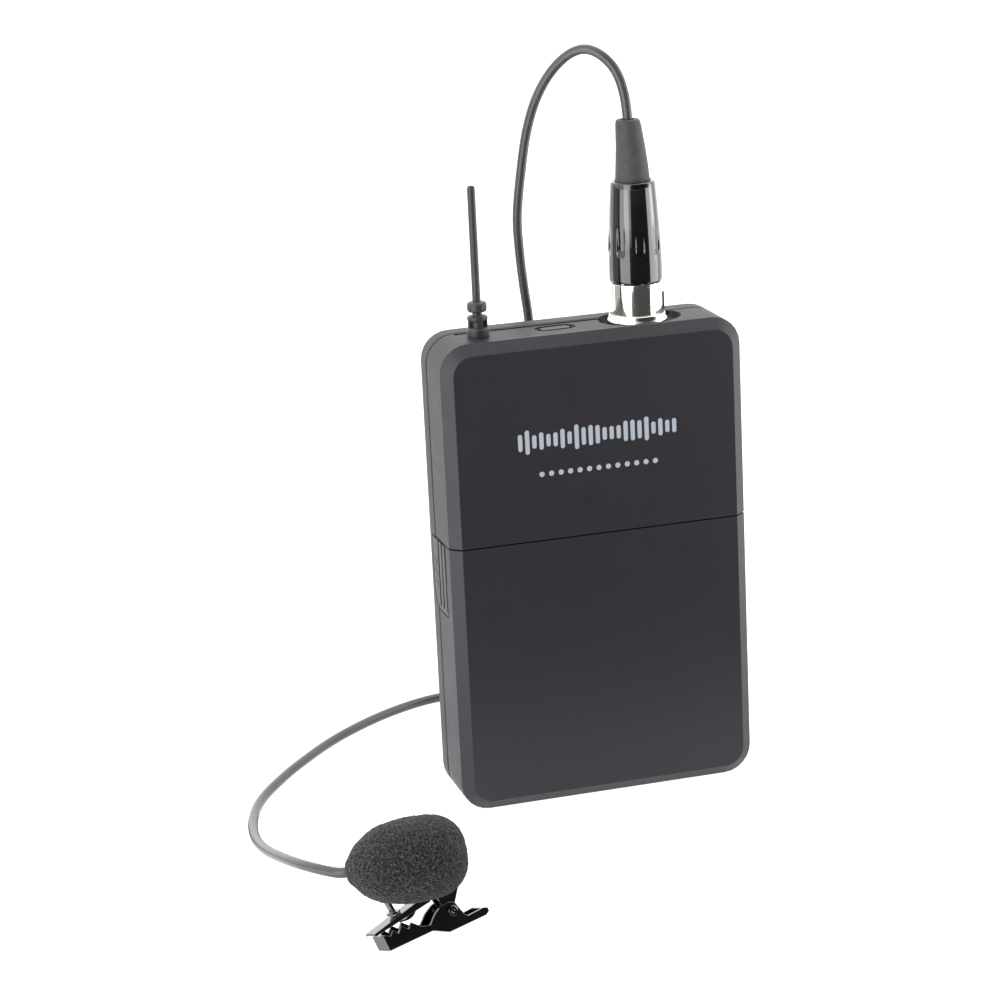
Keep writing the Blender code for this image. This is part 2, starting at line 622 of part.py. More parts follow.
def plug():
    place = Matrix.Translation((SOCKET_X, SOCKET_Y, 0.0))
    shell = collar([(4.6, 88.2), (PLUG_R, 88.2), (PLUG_R, SHELL_TOP - 0.1), (4.6, SHELL_TOP - 0.1)],
                   place, 28)
    cut(shell, box((SOCKET_X, SOCKET_X + 8), (SOCKET_Y - 1.25, SOCKET_Y + 1.25), (98.9, 103.3)))
    finish(shell, "plug_shell", NICKEL)
    tab = box((SOCKET_X + 3.9, SOCKET_X + 5.55), (SOCKET_Y - 1.0, SOCKET_Y + 1.0), (99.2, 103.0))
    finish(tab, "plug_latch", NICKEL, (SOCKET_X + 5.0, SOCKET_Y, 101.0))
    insert = turned([(4.3, 88.2), (4.3, 98.4)], place, 24)
    for x, y in pin_places():
        cut(insert, rod((x, y, 80), (x, y, 95), 0.75, 16))
    finish(insert, "plug_insert", RUBBER)
    sleeve = turned([(5.2, SHELL_TOP + 0.2), (5.45, SHELL_TOP + 0.5), (5.45, 109.0), (5.3, 114.0),
                     (5.0, 119.0), (4.6, SLEEVE_TOP - 0.4), (4.4, SLEEVE_TOP)], place, 28)
    for k in range(8):
        a = 2 * math.pi * k / 8
        turn = place @ Matrix.Rotation(a, 4, "Z")
        cut(sleeve, slab([(4.85, -0.75), (7.0, -0.75), (7.0, 0.75), (4.85, 0.75)], 112.2, 117.0, turn))
    finish(sleeve, "plug_sleeve", GLOSS)
    low, high = SLEEVE_TOP + 0.3, BOOT_TOP
    loops = []
    for t in (0.0, 0.08, 0.3, 0.6, 0.85, 1.0):
        radius = 3.45 - 0.92 * t if t < 1.0 else 2.3
        lean = -BOOT_LEAN * t * t
        loops.append([(SOCKET_X + lean + x, SOCKET_Y + y, low + (high - low) * t)
                      for x, y in circle(radius, 24)])
    finish(loft(loops), "plug_boot", RUBBER)


# ---------------------------------------------------------------- microphone head

MIC_ALONG = MIC @ ALONG_X


def tie_point(x, y, z):
    return TIE @ Vector((x, y, z))


def microphone():
    body = collar([(1.25, -9.0), (2.4, -9.0), (MIC_R, -8.6), (MIC_R, 3.0), (2.35, 3.0), (2.35, -5.0),
                   (1.25, -5.0)], MIC_ALONG)
    finish(body, "mic_body", BLACKED)
    capsule = turned([(2.1, -0.6), (2.1, 2.6)], MIC_ALONG, 28)
    finish(capsule, "mic_capsule", STEEL)
    grille = turned([(MIC_R, 3.2), (MIC_R, 4.2), (2.5, 4.7), (1.4, 5.0)], MIC_ALONG)
    cut(grille, turned([(2.3, 3.0), (2.3, 4.1)], MIC_ALONG, 24))
    for k in range(6):
        turn = MIC_ALONG @ Matrix.Rotation(math.pi / 3 * k, 4, "Z") @ Matrix.Translation((1.5, 0, 0))
        cut(grille, turned([(0.4, 3.0), (0.4, 6.0)], turn, 12))
    finish(grille, "mic_grille", BLACKED)
    relief = turned([(1.1, -6.0), (1.1, -9.2), (1.6, -9.25), (1.25, -12.0)], MIC_ALONG, 24)
    finish(relief, "mic_strain_relief", RUBBER)


def windscreen():
    """Egg of foam with a bore for the microphone and a slot for its holder."""
    profile = [(4.4, -10.6), (5.9, -9.3), (7.1, -7.0), (7.8, -4.0), (FOAM_R, -0.5), (FOAM_R, 2.5),
               (7.7, 5.5), (6.9, 8.0), (5.3, 10.2), (3.4, 11.3), (1.4, 11.75)]
    egg = turned(profile, MIC_ALONG, 26)
    cut(egg, turned([(3.75, -20.0), (3.75, -6.1)], MIC_ALONG, 20))
    cut(egg, turned([(3.1, -7.0), (3.1, 5.4)], MIC_ALONG, 20))
    foot = MIC.inverted() @ tie_point(STUD_X, 0.0, 5.0)
    turn = MIC @ Matrix.Rotation(math.atan2(foot.y, -foot.z), 4, "X")
    front = RING_AT + 1.3 + max(foot.x - RING_AT, 0.0)
    slot = loft([[turn @ Vector((x, y, z)) for x, y in ((-20, -1.2), (front, -1.2), (front, 1.2), (-20, 1.2))]
                 for z in (-12.0, 0.0)])
    cut(egg, slot)
    return finish(egg, "windscreen", FOAM)


def mic_holder():
    """Open ring around the microphone, on a stem that ends in a round foot."""
    ring = collar([(3.0, RING_AT - 0.8), (3.4, RING_AT - 0.8), (3.4, RING_AT + 0.8),
                   (3.0, RING_AT + 0.8)], MIC_ALONG)
    foot = tie_point(STUD_X, 0.0, 5.75)
    centre = MIC @ Vector((RING_AT, 0.0, 0.0))
    down = (foot - centre).normalized()
    gap = loft([[MIC @ Vector((x, y, z)) for x, y in
                 ((RING_AT - 2, -1.0), (RING_AT + 2, -1.0), (RING_AT + 2, 1.0), (RING_AT - 2, 1.0))]
                for z in (1.5, 5.0)])
    cut(ring, gap)
    start = centre + down * 3.05
    across = (TIE.to_3x3() @ Vector((0.0, 1.0, 0.0)))
    side = down.cross(across).normalized()
    loops = [[p + across * a + side * b for a, b in ((-0.7, -0.3), (0.7, -0.3), (0.7, 0.3), (-0.7, 0.3))]
             for p in (start, foot)]
    join(ring, loft(loops))
    disc = turned([(1.35, 5.55), (1.35, 6.0)], TIE @ Matrix.Translation((STUD_X, 0, 0)), 20)
    join(ring, disc)
    return finish(ring, "mic_holder", STEEL)


def tie_clip():
    """Alligator clip: toothed channel below, strip lever above, pinned at the ears."""
    half = JAW_WIDTH / 2
    jaw_side = [(0.0, 0.0), (9.9, -0.1), (13.2, -1.7), (21.9, -1.8), (22.7, -1.3), (22.6, -0.6),
                (21.8, -0.3), (18.1, -0.4), (17.4, 0.2), (16.2, 3.0), (15.2, 3.5), (13.5, 3.6),
                (11.5, 2.6), (9.8, 1.1), (7.9, 1.6), (6.1, 3.1), (5.2, 2.2), (3.9, 3.3), (2.85, 2.3),
                (1.9, 3.3), (1.1, 2.4), (0.2, 3.0), (-0.45, 2.9)]
    jaw = side_slab(jaw_side, -half, half, TIE)
    room = [(0.15, 0.5), (10.0, 0.4), (13.4, -1.2), (21.5, -1.3), (21.3, 1.0), (16.0, 6.0), (0.15, 6.0)]
    cut(jaw, side_slab(room, -half + SHEET, half - SHEET, TIE))
    eye = Matrix.Translation((RIVET_X, 0.0, RIVET_Z)) @ ALONG_Y
    cut(jaw, turned([(0.75, -5.0), (0.75, 5.0)], TIE @ eye, 16))
    pivot = tie_point(RIVET_X, 0.0, RIVET_Z)
    finish(jaw, "clip_jaw", BLACKED, pivot)
    lever(eye, pivot)
    rivet = turned([(1.0, -half - 0.5), (1.0, -half - 0.15), (0.5, -half - 0.14), (0.5, half + 0.14),
                    (1.0, half + 0.15), (1.0, half + 0.5)], TIE @ eye, 20)
    finish(rivet, "clip_rivet", STEEL, pivot)
    spring = sweep(helix(0.85, -0.6, 0.6, 3, TIE @ eye), 0.16)
    finish(spring, "clip_spring", STEEL)
    stud = turned([(0.5, 3.95), (0.5, 5.25)], TIE @ Matrix.Translation((STUD_X, 0.0, 0.0)), 16)
    finish(stud, "holder_stud", STEEL)


def lever(eye, pivot):
    top = [(-1.9, 3.7), (-1.7, 4.0), (9.0, 6.05), (12.8, 6.3), (14.6, 6.6), (20.6, 9.6), (20.9, 9.1),
           (14.7, 6.1), (12.8, 5.75), (9.0, 5.55), (-1.7, 3.55)]
    half = STRIP_WIDTH / 2
    arm = side_slab(top, -half, half, TIE)
    flange = [(-1.7, 3.9), (11.6, 6.0), (11.6, 5.0), (-1.7, 3.45)]
    for side in (-1, 1):
        y = sorted((side * half, side * (half - 0.4)))
        join(arm, side_slab(flange, y[0], y[1], TIE))
    ear = [(13.1, 6.25), (14.0, 2.4), (14.2, 1.2), (15.2, 0.45), (16.2, 1.2), (16.7, 2.8), (18.5, 5.3),
           (20.8, 9.2), (14.6, 6.4)]
    for side in (-1, 1):
        y = sorted((side * LEVER_WIDTH / 2, side * (LEVER_WIDTH / 2 - 0.4)))
        join(arm, side_slab(ear, y[0], y[1], TIE))
    cut(arm, turned([(0.75, -5.0), (0.75, 5.0)], TIE @ eye, 16))
    cut(arm, turned([(0.8, 3.0), (0.8, 8.0)], TIE @ Matrix.Translation((STUD_X, 0, 0)), 16))
    return finish(arm, "clip_lever", BLACKED, tie_point(STUD_X, 0.0, 5.0))


# ---------------------------------------------------------------- cord

def smooth_route(points, spacing):
    """Evenly spaced points of a smooth curve through the given ones."""
    points = [Vector(p) for p in points]
    ends = [2 * points[0] - points[1]] + points + [2 * points[-1] - points[-2]]
    dense = []
    for a, b, c, d in zip(ends, ends[1:], ends[2:], ends[3:]):
        for k in range(24):
            t = k / 24
            dense.append(0.5 * (2 * b + (c - a) * t + (2 * a - 5 * b + 4 * c - d) * t ** 2
                                + (3 * b - a - 3 * c + d) * t ** 3))
    dense.append(points[-1])
    lengths = [0.0]
    for a, b in zip(dense, dense[1:]):
        lengths.append(lengths[-1] + (b - a).length)
    count = round(lengths[-1] / spacing)
    route = []
    at = 0
    for i in range(count + 1):
        goal = lengths[-1] * i / count
        while at < len(dense) - 2 and lengths[at + 1] < goal:
            at += 1
        share = (goal - lengths[at]) / (lengths[at + 1] - lengths[at])
        route.append(dense[at].lerp(dense[at + 1], share))
    return route


def cord_tube(points, name):
    route = smooth_route(points, 2.6 * CORD_D)
    curve = bpy.data.curves.new(name, "CURVE")
    curve.dimensions = "3D"
    curve.bevel_depth = CORD_D / 2 * METRE
    curve.bevel_resolution = 2
    curve.use_fill_caps = True
    spline = curve.splines.new("POLY")
    spline.points.add(len(route) - 1)
    for point, place in zip(spline.points, route):
        point.co = (*(place * METRE), 1.0)
    obj = bpy.data.objects.new(name, curve)
    bpy.context.scene.collection.objects.link(obj)
    colour, roughness, metallic = CORD
    curve.materials.append(material(name, colour, roughness, metallic))
    return obj


def cord():
    cord_tube(FROM_PLUG, "cord_from_plug")
    cord_tube(TO_MIC, "cord_to_mic")
    place = Matrix.Translation((*COIL_CENTRE, COIL_Z))
    section = [(COIL_R + x, y) for x, y in circle(COIL_BUNDLE_R, 8)]
    finish(collar(section, place, 28), "cord_coil", CORD)
    round_bundle = place @ Matrix.Translation((COIL_R, 0.0, 0.0)) @ ALONG_Y
    grip = COIL_BUNDLE_R + 0.3
    tie = collar([(grip, -1.6), (grip + 0.4, -1.6), (grip + 0.4, 1.6), (grip, 1.6)], round_bundle, 20)
    finish(tie, "coil_tie", TIE_WRAP)


def main():
    clear_scene()
    front_shell()
    rear_shell()
    top_plate()
    battery_door()
    for side, label in ((-1, "left"), (1, "right")):
        latch_tab(side, f"latch_tab_{label}")
        latch_spring(side, f"latch_spring_{label}")
        hinge_pin(side, f"hinge_pin_{label}")
        battery_cell(side, f"battery_cell_{label}")
    for index in range(len(SCREWS)):
        case_screw(index)
    belt_clip()
    belt_clip_pin()
    belt_clip_spring()
    contact_plates()
    electronics()
    power_button()
    antenna()
    socket()
    plug()
    microphone()
    windscreen()
    mic_holder()
    tie_clip()
    cord()


main()
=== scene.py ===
"""Looks of the lavalier microphone set: pocket transmitter, plug-in cord, tie-clip microphone.

Shapes are worked out in millimetres in the pack's own frame: the origin is the centre of the
pack's bottom face, +X its right side, +Y its back and +Z up.
"""
import math

import bmesh
import bpy
import numpy as np
from mathutils import Matrix, Vector


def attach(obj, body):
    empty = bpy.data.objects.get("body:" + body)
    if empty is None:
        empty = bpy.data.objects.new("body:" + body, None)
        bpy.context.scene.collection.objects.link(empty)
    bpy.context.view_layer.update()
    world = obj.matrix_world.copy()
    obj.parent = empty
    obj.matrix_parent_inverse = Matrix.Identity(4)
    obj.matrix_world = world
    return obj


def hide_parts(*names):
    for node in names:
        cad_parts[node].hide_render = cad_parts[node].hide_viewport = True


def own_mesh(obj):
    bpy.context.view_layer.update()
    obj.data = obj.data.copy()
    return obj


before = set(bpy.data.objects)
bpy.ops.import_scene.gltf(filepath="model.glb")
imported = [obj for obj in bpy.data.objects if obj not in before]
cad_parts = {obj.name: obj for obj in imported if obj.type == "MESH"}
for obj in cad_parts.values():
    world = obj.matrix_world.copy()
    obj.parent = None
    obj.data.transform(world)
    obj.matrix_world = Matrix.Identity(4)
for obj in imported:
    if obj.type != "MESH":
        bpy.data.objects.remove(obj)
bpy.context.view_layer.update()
MM = 0.001


# ---------------------------------------------------------------- places

def unit(v):
    """The vector at length 1."""
    v = np.asarray(v, float)
    return v / np.linalg.norm(v)


def upright(x, y, z=0.0):
    """Frame standing at a place, its third axis up."""
    place = np.eye(4)
    place[:3, 3] = x, y, z
    return place


def turned_frame(origin, heading, pitch, roll):
    """Frame whose x axis has the heading and pitch in degrees, rolled about that axis."""
    turn = Matrix.Rotation(math.radians(heading), 4, "Z") @ Matrix.Rotation(-math.radians(pitch), 4, "Y")
    return np.array(Matrix.Translation(origin) @ turn @ Matrix.Rotation(-math.radians(roll), 4, "X"))


MIC = turned_frame((-57.9, -66.2, 16.8), -9.1, 6.9, 0.0)
TIE = turned_frame((-63.94, -69.79, 1.12), 22.0, 6.0, 18.0)
ALONG_X = np.array(Matrix.Rotation(math.radians(90), 4, "Y"))
ALONG_Y = np.array(Matrix.Rotation(math.radians(-90), 4, "X"))
MIC_ALONG = MIC @ ALONG_X
FOAM_SHIFT = np.array((0.0, 0.0, -0.25))
SOCKET = (12.3, 0.3)
ANTENNA = (-21.6, -0.9)
BUTTON = (-5.4, -0.4)
FRONT = -9.0
SIDE = 31.5
CELL_X = 7.35
CLIP_PIVOT = (12.2, 74.0)
RIVET = (15.17, 0.0, 1.77)
LATCH_SPRING = (26.35, -1.0, 48.5)


def moved(points, place):
    """Points carried into the frame."""
    return points @ place[:3, :3].T + place[:3, 3]


# ---------------------------------------------------------------- shader expressions

class Value:
    """One socket of a material's nodes, with arithmetic written as expressions."""

    def __init__(self, net, socket):
        self.net = net
        self.socket = socket

    def sum_with(self, other, operation, flip=False):
        """This value and another through one Math node, the other way round if flipped."""
        pair = (other, self) if flip else (self, other)
        return self.net.node("ShaderNodeMath", {"operation": operation}, {0: pair[0], 1: pair[1]})

    def __add__(self, other):
        return self.sum_with(other, "ADD")

    __radd__ = __add__

    def __sub__(self, other):
        return self.sum_with(other, "SUBTRACT")

    def __rsub__(self, other):
        return self.sum_with(other, "SUBTRACT", True)

    def __mul__(self, other):
        return self.sum_with(other, "MULTIPLY")

    __rmul__ = __mul__

    def __truediv__(self, other):
        return self.sum_with(other, "DIVIDE")

    def __pow__(self, other):
        return self.sum_with(other, "POWER")

    def above(self, low, high):
        """0 below low, 1 above high and a smooth rise between."""
        return self.net.node("ShaderNodeMapRange", {"interpolation_type": "SMOOTHSTEP"},
                             {"Value": self, "From Min": low, "From Max": high})


class Net:
    """A material's nodes around its Principled shader."""

    def __init__(self, name, **constants):
        self.look = bpy.data.materials.new(name)
        self.look.use_nodes = True
        self.tree = self.look.node_tree
        self.shader = self.tree.nodes["Principled BSDF"]
        for label, value in constants.items():
            self.shader.inputs[label.replace("_", " ")].default_value = value
        self.at = self.node("ShaderNodeTexCoord", out="Object")

    def feed(self, socket, value):
        """Link a value to the socket, or set it to a number or a colour."""
        if isinstance(value, Value):
            self.tree.links.new(value.socket, socket)
        elif socket.type == "RGBA" and len(value) == 3:
            socket.default_value = (*value, 1.0)
        else:
            socket.default_value = value

    def node(self, kind, settings=None, inputs=None, out=0):
        """One node: its settings, then the values or links of its sockets."""
        made = self.tree.nodes.new(kind)
        for label, value in (settings or {}).items():
            setattr(made, label, value)
        for label, value in (inputs or {}).items():
            self.feed(made.inputs[label], value)
        return Value(self, made.outputs[out])

    def noise(self, scale, detail=2.0, rough=0.5, at=None):
        """Cloudy noise from 0 to 1, scale of them to the metre."""
        return self.node("ShaderNodeTexNoise", inputs={"Vector": at or self.at, "Scale": scale,
                                                       "Detail": detail, "Roughness": rough})

    def cells(self, scale):
        """Distance to the nearest of scattered points."""
        return self.node("ShaderNodeTexVoronoi", inputs={"Vector": self.at, "Scale": scale}, out="Distance")

    def stretched(self, x, y, z):
        """Object place scaled along each axis, for grain that runs one way."""
        return self.node("ShaderNodeMapping", inputs={"Vector": self.at, "Scale": (x, y, z)})

    def axis(self, label):
        """Object place along one axis, in metres."""
        return self.node("ShaderNodeSeparateXYZ", inputs={"Vector": self.at}, out=label)

    def blend(self, first, second, share):
        """Colour between two, by the share."""
        made = self.tree.nodes.new("ShaderNodeMix")
        made.data_type = "RGBA"
        for index, value in ((0, share), (6, first), (7, second)):
            self.feed(made.inputs[index], value)
        return Value(self, made.outputs[2])

    def rounding(self, radius):
        """Normal that rolls over the piece's edges, as moulded and pressed edges do."""
        return self.node("ShaderNodeBevel", {"samples": 6}, {"Radius": radius * MM})

    def edges(self, radius):
        """1 on sharp outer and inner edges and 0 on the flats beside them."""
        flat = self.node("ShaderNodeNewGeometry", out="True Normal")
        agree = self.node("ShaderNodeVectorMath", {"operation": "DOT_PRODUCT"},
                          {0: self.rounding(radius), 1: flat}, out="Value")
        return (1.0 - agree).above(0.03, 0.18)

    def relief(self, height, depth, strength=1.0, under=None):
        """Bump of the height, its full depth given in millimetres."""
        inputs = {"Height": height, "Distance": depth * MM, "Strength": strength}
        if under is not None:
            inputs["Normal"] = under
        return self.node("ShaderNodeBump", inputs=inputs)

    def paint(self, **sockets):
        """Feed the shader's sockets and give the finished material."""
        for label, value in sockets.items():
            self.feed(self.shader.inputs[label.replace("_", " ")], value)
        return self.look


def moulded_case(name, dark, light, rounding=0.16, satin=0.46, painted_shade=None):
    """Fine spark-eroded satin plastic: tiny grain, faint clouding, smoother where handled.

    Painted shade is an oval (centre x, centre y, half width, half depth, squareness): its colour is painted near
    black inside, as shade in a recess.
    """
    net = Net(name, IOR=1.5)
    grain = net.noise(5200.0, 2.0, 0.6)
    cloud = net.noise(70.0, 3.0)
    rub = net.noise(240.0, 4.0, 0.65).above(0.52, 0.72)
    tone = net.blend(dark, light, cloud * 0.7 + grain * 0.3)
    satin = satin + grain * 0.1 - rub * 0.05
    # Painted shade: inside the oval the colour is painted near black and made rougher, standing in for the shade in
    # the recess.
    if painted_shade:
        x, y, half_x, half_y, square = painted_shade
        across = (net.axis("X") * (1 / MM) - x) / half_x
        along = (net.axis("Y") * (1 / MM) - y) / half_y
        outside = ((across * across) ** square + (along * along) ** square).above(0.98, 1.01)
        tone = net.blend((0.0015, 0.0015, 0.002), tone, outside)
        satin = satin + 0.25 - outside * 0.25
    bump = net.relief(grain, 0.012, 0.55, net.rounding(rounding))
    return net.paint(Base_Color=tone, Roughness=satin, Normal=bump)


def soft_rubber(name, dark, light, rough=0.62):
    """Flexible trim: a dull skin with faint dusty mottling."""
    net = Net(name, IOR=1.48, Sheen_Weight=0.12, Sheen_Roughness=0.5)
    grain = net.noise(3600.0, 3.0, 0.6)
    dust = net.noise(900.0, 4.0, 0.6).above(0.4, 0.8)
    bump = net.relief(grain, 0.02, 0.6)
    return net.paint(Base_Color=net.blend(dark, light, dust), Roughness=rough + grain * 0.12, Normal=bump)


def cord_jacket():
    """Extruded jacket: satin, with faint drawing lines and dull patches."""
    net = Net("cord_jacket", IOR=1.5)
    grain = net.noise(2500.0, 2.0)
    patch = net.noise(160.0, 3.0)
    tone = net.blend((0.035, 0.034, 0.037), (0.062, 0.06, 0.066), patch)
    return net.paint(Base_Color=tone, Roughness=0.22 + patch * 0.1 + grain * 0.04,
                     Normal=net.relief(grain, 0.01, 0.5))


def polished_sleeve():
    """Glossy black moulding with hairline handling scratches."""
    net = Net("polished_sleeve", IOR=1.52, Coat_Roughness=0.03)
    hair = net.noise(900.0, 5.0, 0.7, net.stretched(1.0, 1.0, 0.08))
    haze = net.noise(300.0, 3.0)
    tone = net.blend((0.0015, 0.0015, 0.0025), (0.005, 0.005, 0.007), haze)
    return net.paint(Base_Color=tone, Roughness=0.08 + hair.above(0.6, 0.8) * 0.12 + haze * 0.03,
                     Coat_Weight=0.6 + haze * 0.3, Normal=net.relief(hair, 0.002, 0.25))


def bright_nickel(name="bright_nickel", tint=(0.83, 0.8, 0.75)):
    """Warm bright plate with faint polishing lines and a few dull specks."""
    net = Net(name, Metallic=1.0)
    line = net.noise(1500.0, 4.0, 0.7, net.stretched(0.06, 0.06, 1.0))
    speck = net.noise(900.0, 3.0).above(0.66, 0.74)
    tone = net.blend(tint, tuple(c * 0.82 for c in tint), speck)
    return net.paint(Base_Color=tone, Roughness=0.06 + line * 0.06 + speck * 0.12,
                     Normal=net.relief(line, 0.0015, 0.3))


def plain_steel(name="plain_steel", tint=(0.56, 0.56, 0.57), rough=0.26):
    """Pressed and drawn steel: brushed grain with small dark pits."""
    net = Net(name, Metallic=1.0)
    grain = net.noise(1800.0, 4.0, 0.65, net.stretched(1.0, 0.15, 0.15))
    pit = net.noise(2600.0, 2.0).above(0.68, 0.76)
    tone = net.blend(tint, tuple(c * 0.55 for c in tint), pit)
    return net.paint(Base_Color=tone, Roughness=rough + grain * 0.16, Normal=net.relief(grain, 0.004, 0.4))


def black_plate():
    """Black plated sheet metal: deep gloss, a few worn specks and a painted highlight along the edges."""
    net = Net("black_plate", IOR=1.6, Coat_Roughness=0.06)
    worn = net.noise(1500.0, 4.0, 0.7).above(0.7, 0.84)
    wave = net.noise(380.0, 3.0)
    # Painted highlight: sharp edges are painted light grey, standing in for light catching the edges.
    bare = net.edges(0.24) * (0.55 + wave * 0.4)
    tone = net.blend(net.blend((0.0012, 0.0012, 0.0015), (0.02, 0.02, 0.022), worn), (0.24, 0.24, 0.25), bare)
    return net.paint(Base_Color=tone, Metallic=0.05 + worn * 0.3, Roughness=0.12 + wave * 0.08 + worn * 0.15,
                     Coat_Weight=0.4 + wave * 0.3, Normal=net.relief(wave, 0.006, 0.3, net.rounding(0.2)))


def charcoal_foam():
    """Open-cell foam: dark pores between lighter struts, at three sizes."""
    net = Net("charcoal_foam", IOR=1.3, Sheen_Weight=0.1, Sheen_Roughness=0.6)
    strut = 1.0 - net.cells(2500.0).above(0.08, 0.5)
    fine = net.noise(3000.0, 2.0, 0.6).above(0.4, 0.62)
    patch = net.noise(1400.0, 2.0, 0.6).above(0.38, 0.64)
    share = strut * 0.35 + fine * 0.5 + patch * 0.15
    tone = net.blend((0.002, 0.0018, 0.0024), (0.125, 0.118, 0.134), share ** 2.4)
    return net.paint(Base_Color=tone, Roughness=0.95 - fine * 0.1, Normal=net.relief(fine + strut, 0.07, 0.9))


def circuit_laminate():
    """Green laminate with darker copper runs on a square grid and bright pads."""
    net = Net("circuit_laminate", IOR=1.5)
    run = net.node("ShaderNodeTexBrick", {"offset": 0.5}, {
        "Vector": net.stretched(1.0, 0.0, 1.0), "Scale": 260.0, "Mortar Size": 0.1,
        "Color1": (0.008, 0.09, 0.035), "Color2": (0.01, 0.11, 0.045), "Mortar": (0.02, 0.2, 0.08)}, "Color")
    pad = net.cells(520.0).above(0.16, 0.2)
    tone = net.blend((0.75, 0.62, 0.34), run, pad)
    return net.paint(Base_Color=tone, Metallic=(1.0 - pad) * 0.9, Roughness=0.3 + pad * 0.1,
                     Normal=net.relief(pad, 0.02, 0.3))


def cell_jacket(name, base, way):
    """Battery: dark printed jacket, a broad copper-toned band at its top and bare steel ends."""
    net = Net(name, IOR=1.5)
    along = (net.axis("Z") * (way / MM)) - base * way
    band = along.above(36.0, 36.1)
    bare = along.above(48.2, 48.25) + (1.0 - along.above(0.35, 0.4))
    scuff = net.noise(700.0, 4.0, 0.6)
    jacket = net.blend((0.015, 0.015, 0.017), (0.38, 0.2, 0.09), band)
    tone = net.blend(jacket, (0.6, 0.6, 0.6), bare)
    return net.paint(Base_Color=tone, Metallic=0.1 + band * 0.6 + bare * 0.3, Roughness=0.22 + scuff * 0.14,
                     Normal=net.relief(scuff, 0.006, 0.3))


def woven_band():
    """Cord tie: woven strap, threads crossing over and under."""
    net = Net("woven_band", Sheen_Weight=0.4)
    over = net.node("ShaderNodeTexWave", {"bands_direction": "X"}, {"Vector": net.at, "Scale": 900.0})
    under = net.node("ShaderNodeTexWave", {"bands_direction": "Z"}, {"Vector": net.at, "Scale": 900.0})
    weave = over * under
    tone = net.blend((0.008, 0.008, 0.009), (0.05, 0.05, 0.052), weave)
    return net.paint(Base_Color=tone, Roughness=0.85 - weave * 0.1, Normal=net.relief(weave, 0.1, 0.8))


def panel_ink():
    """Pale blue-grey printed ink with slightly thin patches."""
    net = Net("panel_ink", IOR=1.5)
    thin = net.noise(2400.0, 4.0, 0.7)
    tone = net.blend((0.27, 0.3, 0.345), (0.37, 0.4, 0.45), thin)
    return net.paint(Base_Color=tone, Roughness=0.42 + thin * 0.1, Normal=net.relief(thin, 0.004, 0.3))


CASE_TONES = (0.0078, 0.0073, 0.0118), (0.0118, 0.0112, 0.0168)
CASE = moulded_case("case_satin", *CASE_TONES)
# The dish round the socket and the ring round the button are darkened with painted shade as well as being real
# recesses.
CASE_PAINTED_DISH_SHADE = moulded_case("case_satin_painted_dish_shade", *CASE_TONES, painted_shade=(SOCKET[0] + 0.4, SOCKET[1], 8.75, 6.85, 1.0))
CASE_PAINTED_RING_SHADE = moulded_case("case_satin_painted_ring_shade", *CASE_TONES, painted_shade=(*BUTTON, 4.25, 2.25, 1.6))
KEY = moulded_case("key_satin", (0.009, 0.0085, 0.013), (0.0135, 0.0128, 0.018), 0.12, 0.4)
TRIM = soft_rubber("trim_rubber", (0.018, 0.018, 0.02), (0.036, 0.036, 0.04), 0.38)
BOOT = soft_rubber("boot_rubber", (0.03, 0.031, 0.034), (0.045, 0.046, 0.05), 0.6)
INSULATOR = soft_rubber("insulator_black", (0.012, 0.012, 0.013), (0.022, 0.022, 0.024), 0.45)
CORD = cord_jacket()
GLOSS = polished_sleeve()
NICKEL = bright_nickel()
GOLD = bright_nickel("contact_gold", (0.86, 0.66, 0.34))
STEEL = plain_steel()
BLACK_PLATE = black_plate()
FOAM = charcoal_foam()


# ---------------------------------------------------------------- surfaces

def quads(rows, columns, close_rows):
    """Four-sided faces of a grid that wraps across its columns, and down its rows if asked."""
    down = np.arange(rows if close_rows else rows - 1)[:, None]
    across = np.arange(columns)[None, :]
    below = (down + 1) % rows
    beside = (across + 1) % columns
    corners = [down * columns + across, down * columns + beside,
               below * columns + beside, below * columns + across]
    return np.stack(corners, -1).reshape(-1, 4)


def placed(name, data):
    """New object in the scene, at the origin."""
    obj = bpy.data.objects.new(name, data)
    bpy.context.scene.collection.objects.link(obj)
    return obj


def joined(parts):
    """Points and faces of several shapes as one, each shape's faces counted on from the last."""
    points, faces, start = [], [], 0
    for own_points, own_faces in parts:
        points.append(own_points)
        faces += [[i + start for i in face] for face in own_faces]
        start += len(own_points)
    return np.vstack(points), faces


def made(name, points, faces, look, body, stands_for=(), sharp=38.0):
    """A finished piece from points in millimetres, shaded smooth but for its sharp edges."""
    mesh = bpy.data.meshes.new(name)
    mesh.from_pydata((np.asarray(points) * MM).tolist(), [], [list(map(int, f)) for f in faces])
    bm = bmesh.new()
    bm.from_mesh(mesh)
    bmesh.ops.recalc_face_normals(bm, faces=bm.faces)
    bm.to_mesh(mesh)
    bm.free()
    mesh.shade_smooth()
    mesh.set_sharp_from_angle(angle=math.radians(sharp))
    mesh.materials.append(look)
    obj = placed(name, mesh)
    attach(obj, body)
    if stands_for:
        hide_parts(*stands_for)
    return obj


def solid(name, rings, *rest, **more):
    """Closed body through rings of points, each end closed by a fan to its middle."""
    rows, columns, _ = rings.shape
    points = np.vstack([rings.reshape(-1, 3), rings[0].mean(0), rings[-1].mean(0)])
    step = np.arange(columns)
    turn = (step + 1) % columns
    first = np.stack([turn, step, np.full(columns, rows * columns)], -1)
    last = np.stack([step + (rows - 1) * columns, turn + (rows - 1) * columns,
                     np.full(columns, rows * columns + 1)], -1)
    faces = quads(rows, columns, False).tolist() + first.tolist() + last.tolist()
    return made(name, points, faces, *rest, **more)


def hoop(name, rings, *rest, **more):
    """Closed body whose rings join up again, so it has a hole through it."""
    rows, columns, _ = rings.shape
    return made(name, rings.reshape(-1, 3), quads(rows, columns, True), *rest, **more)


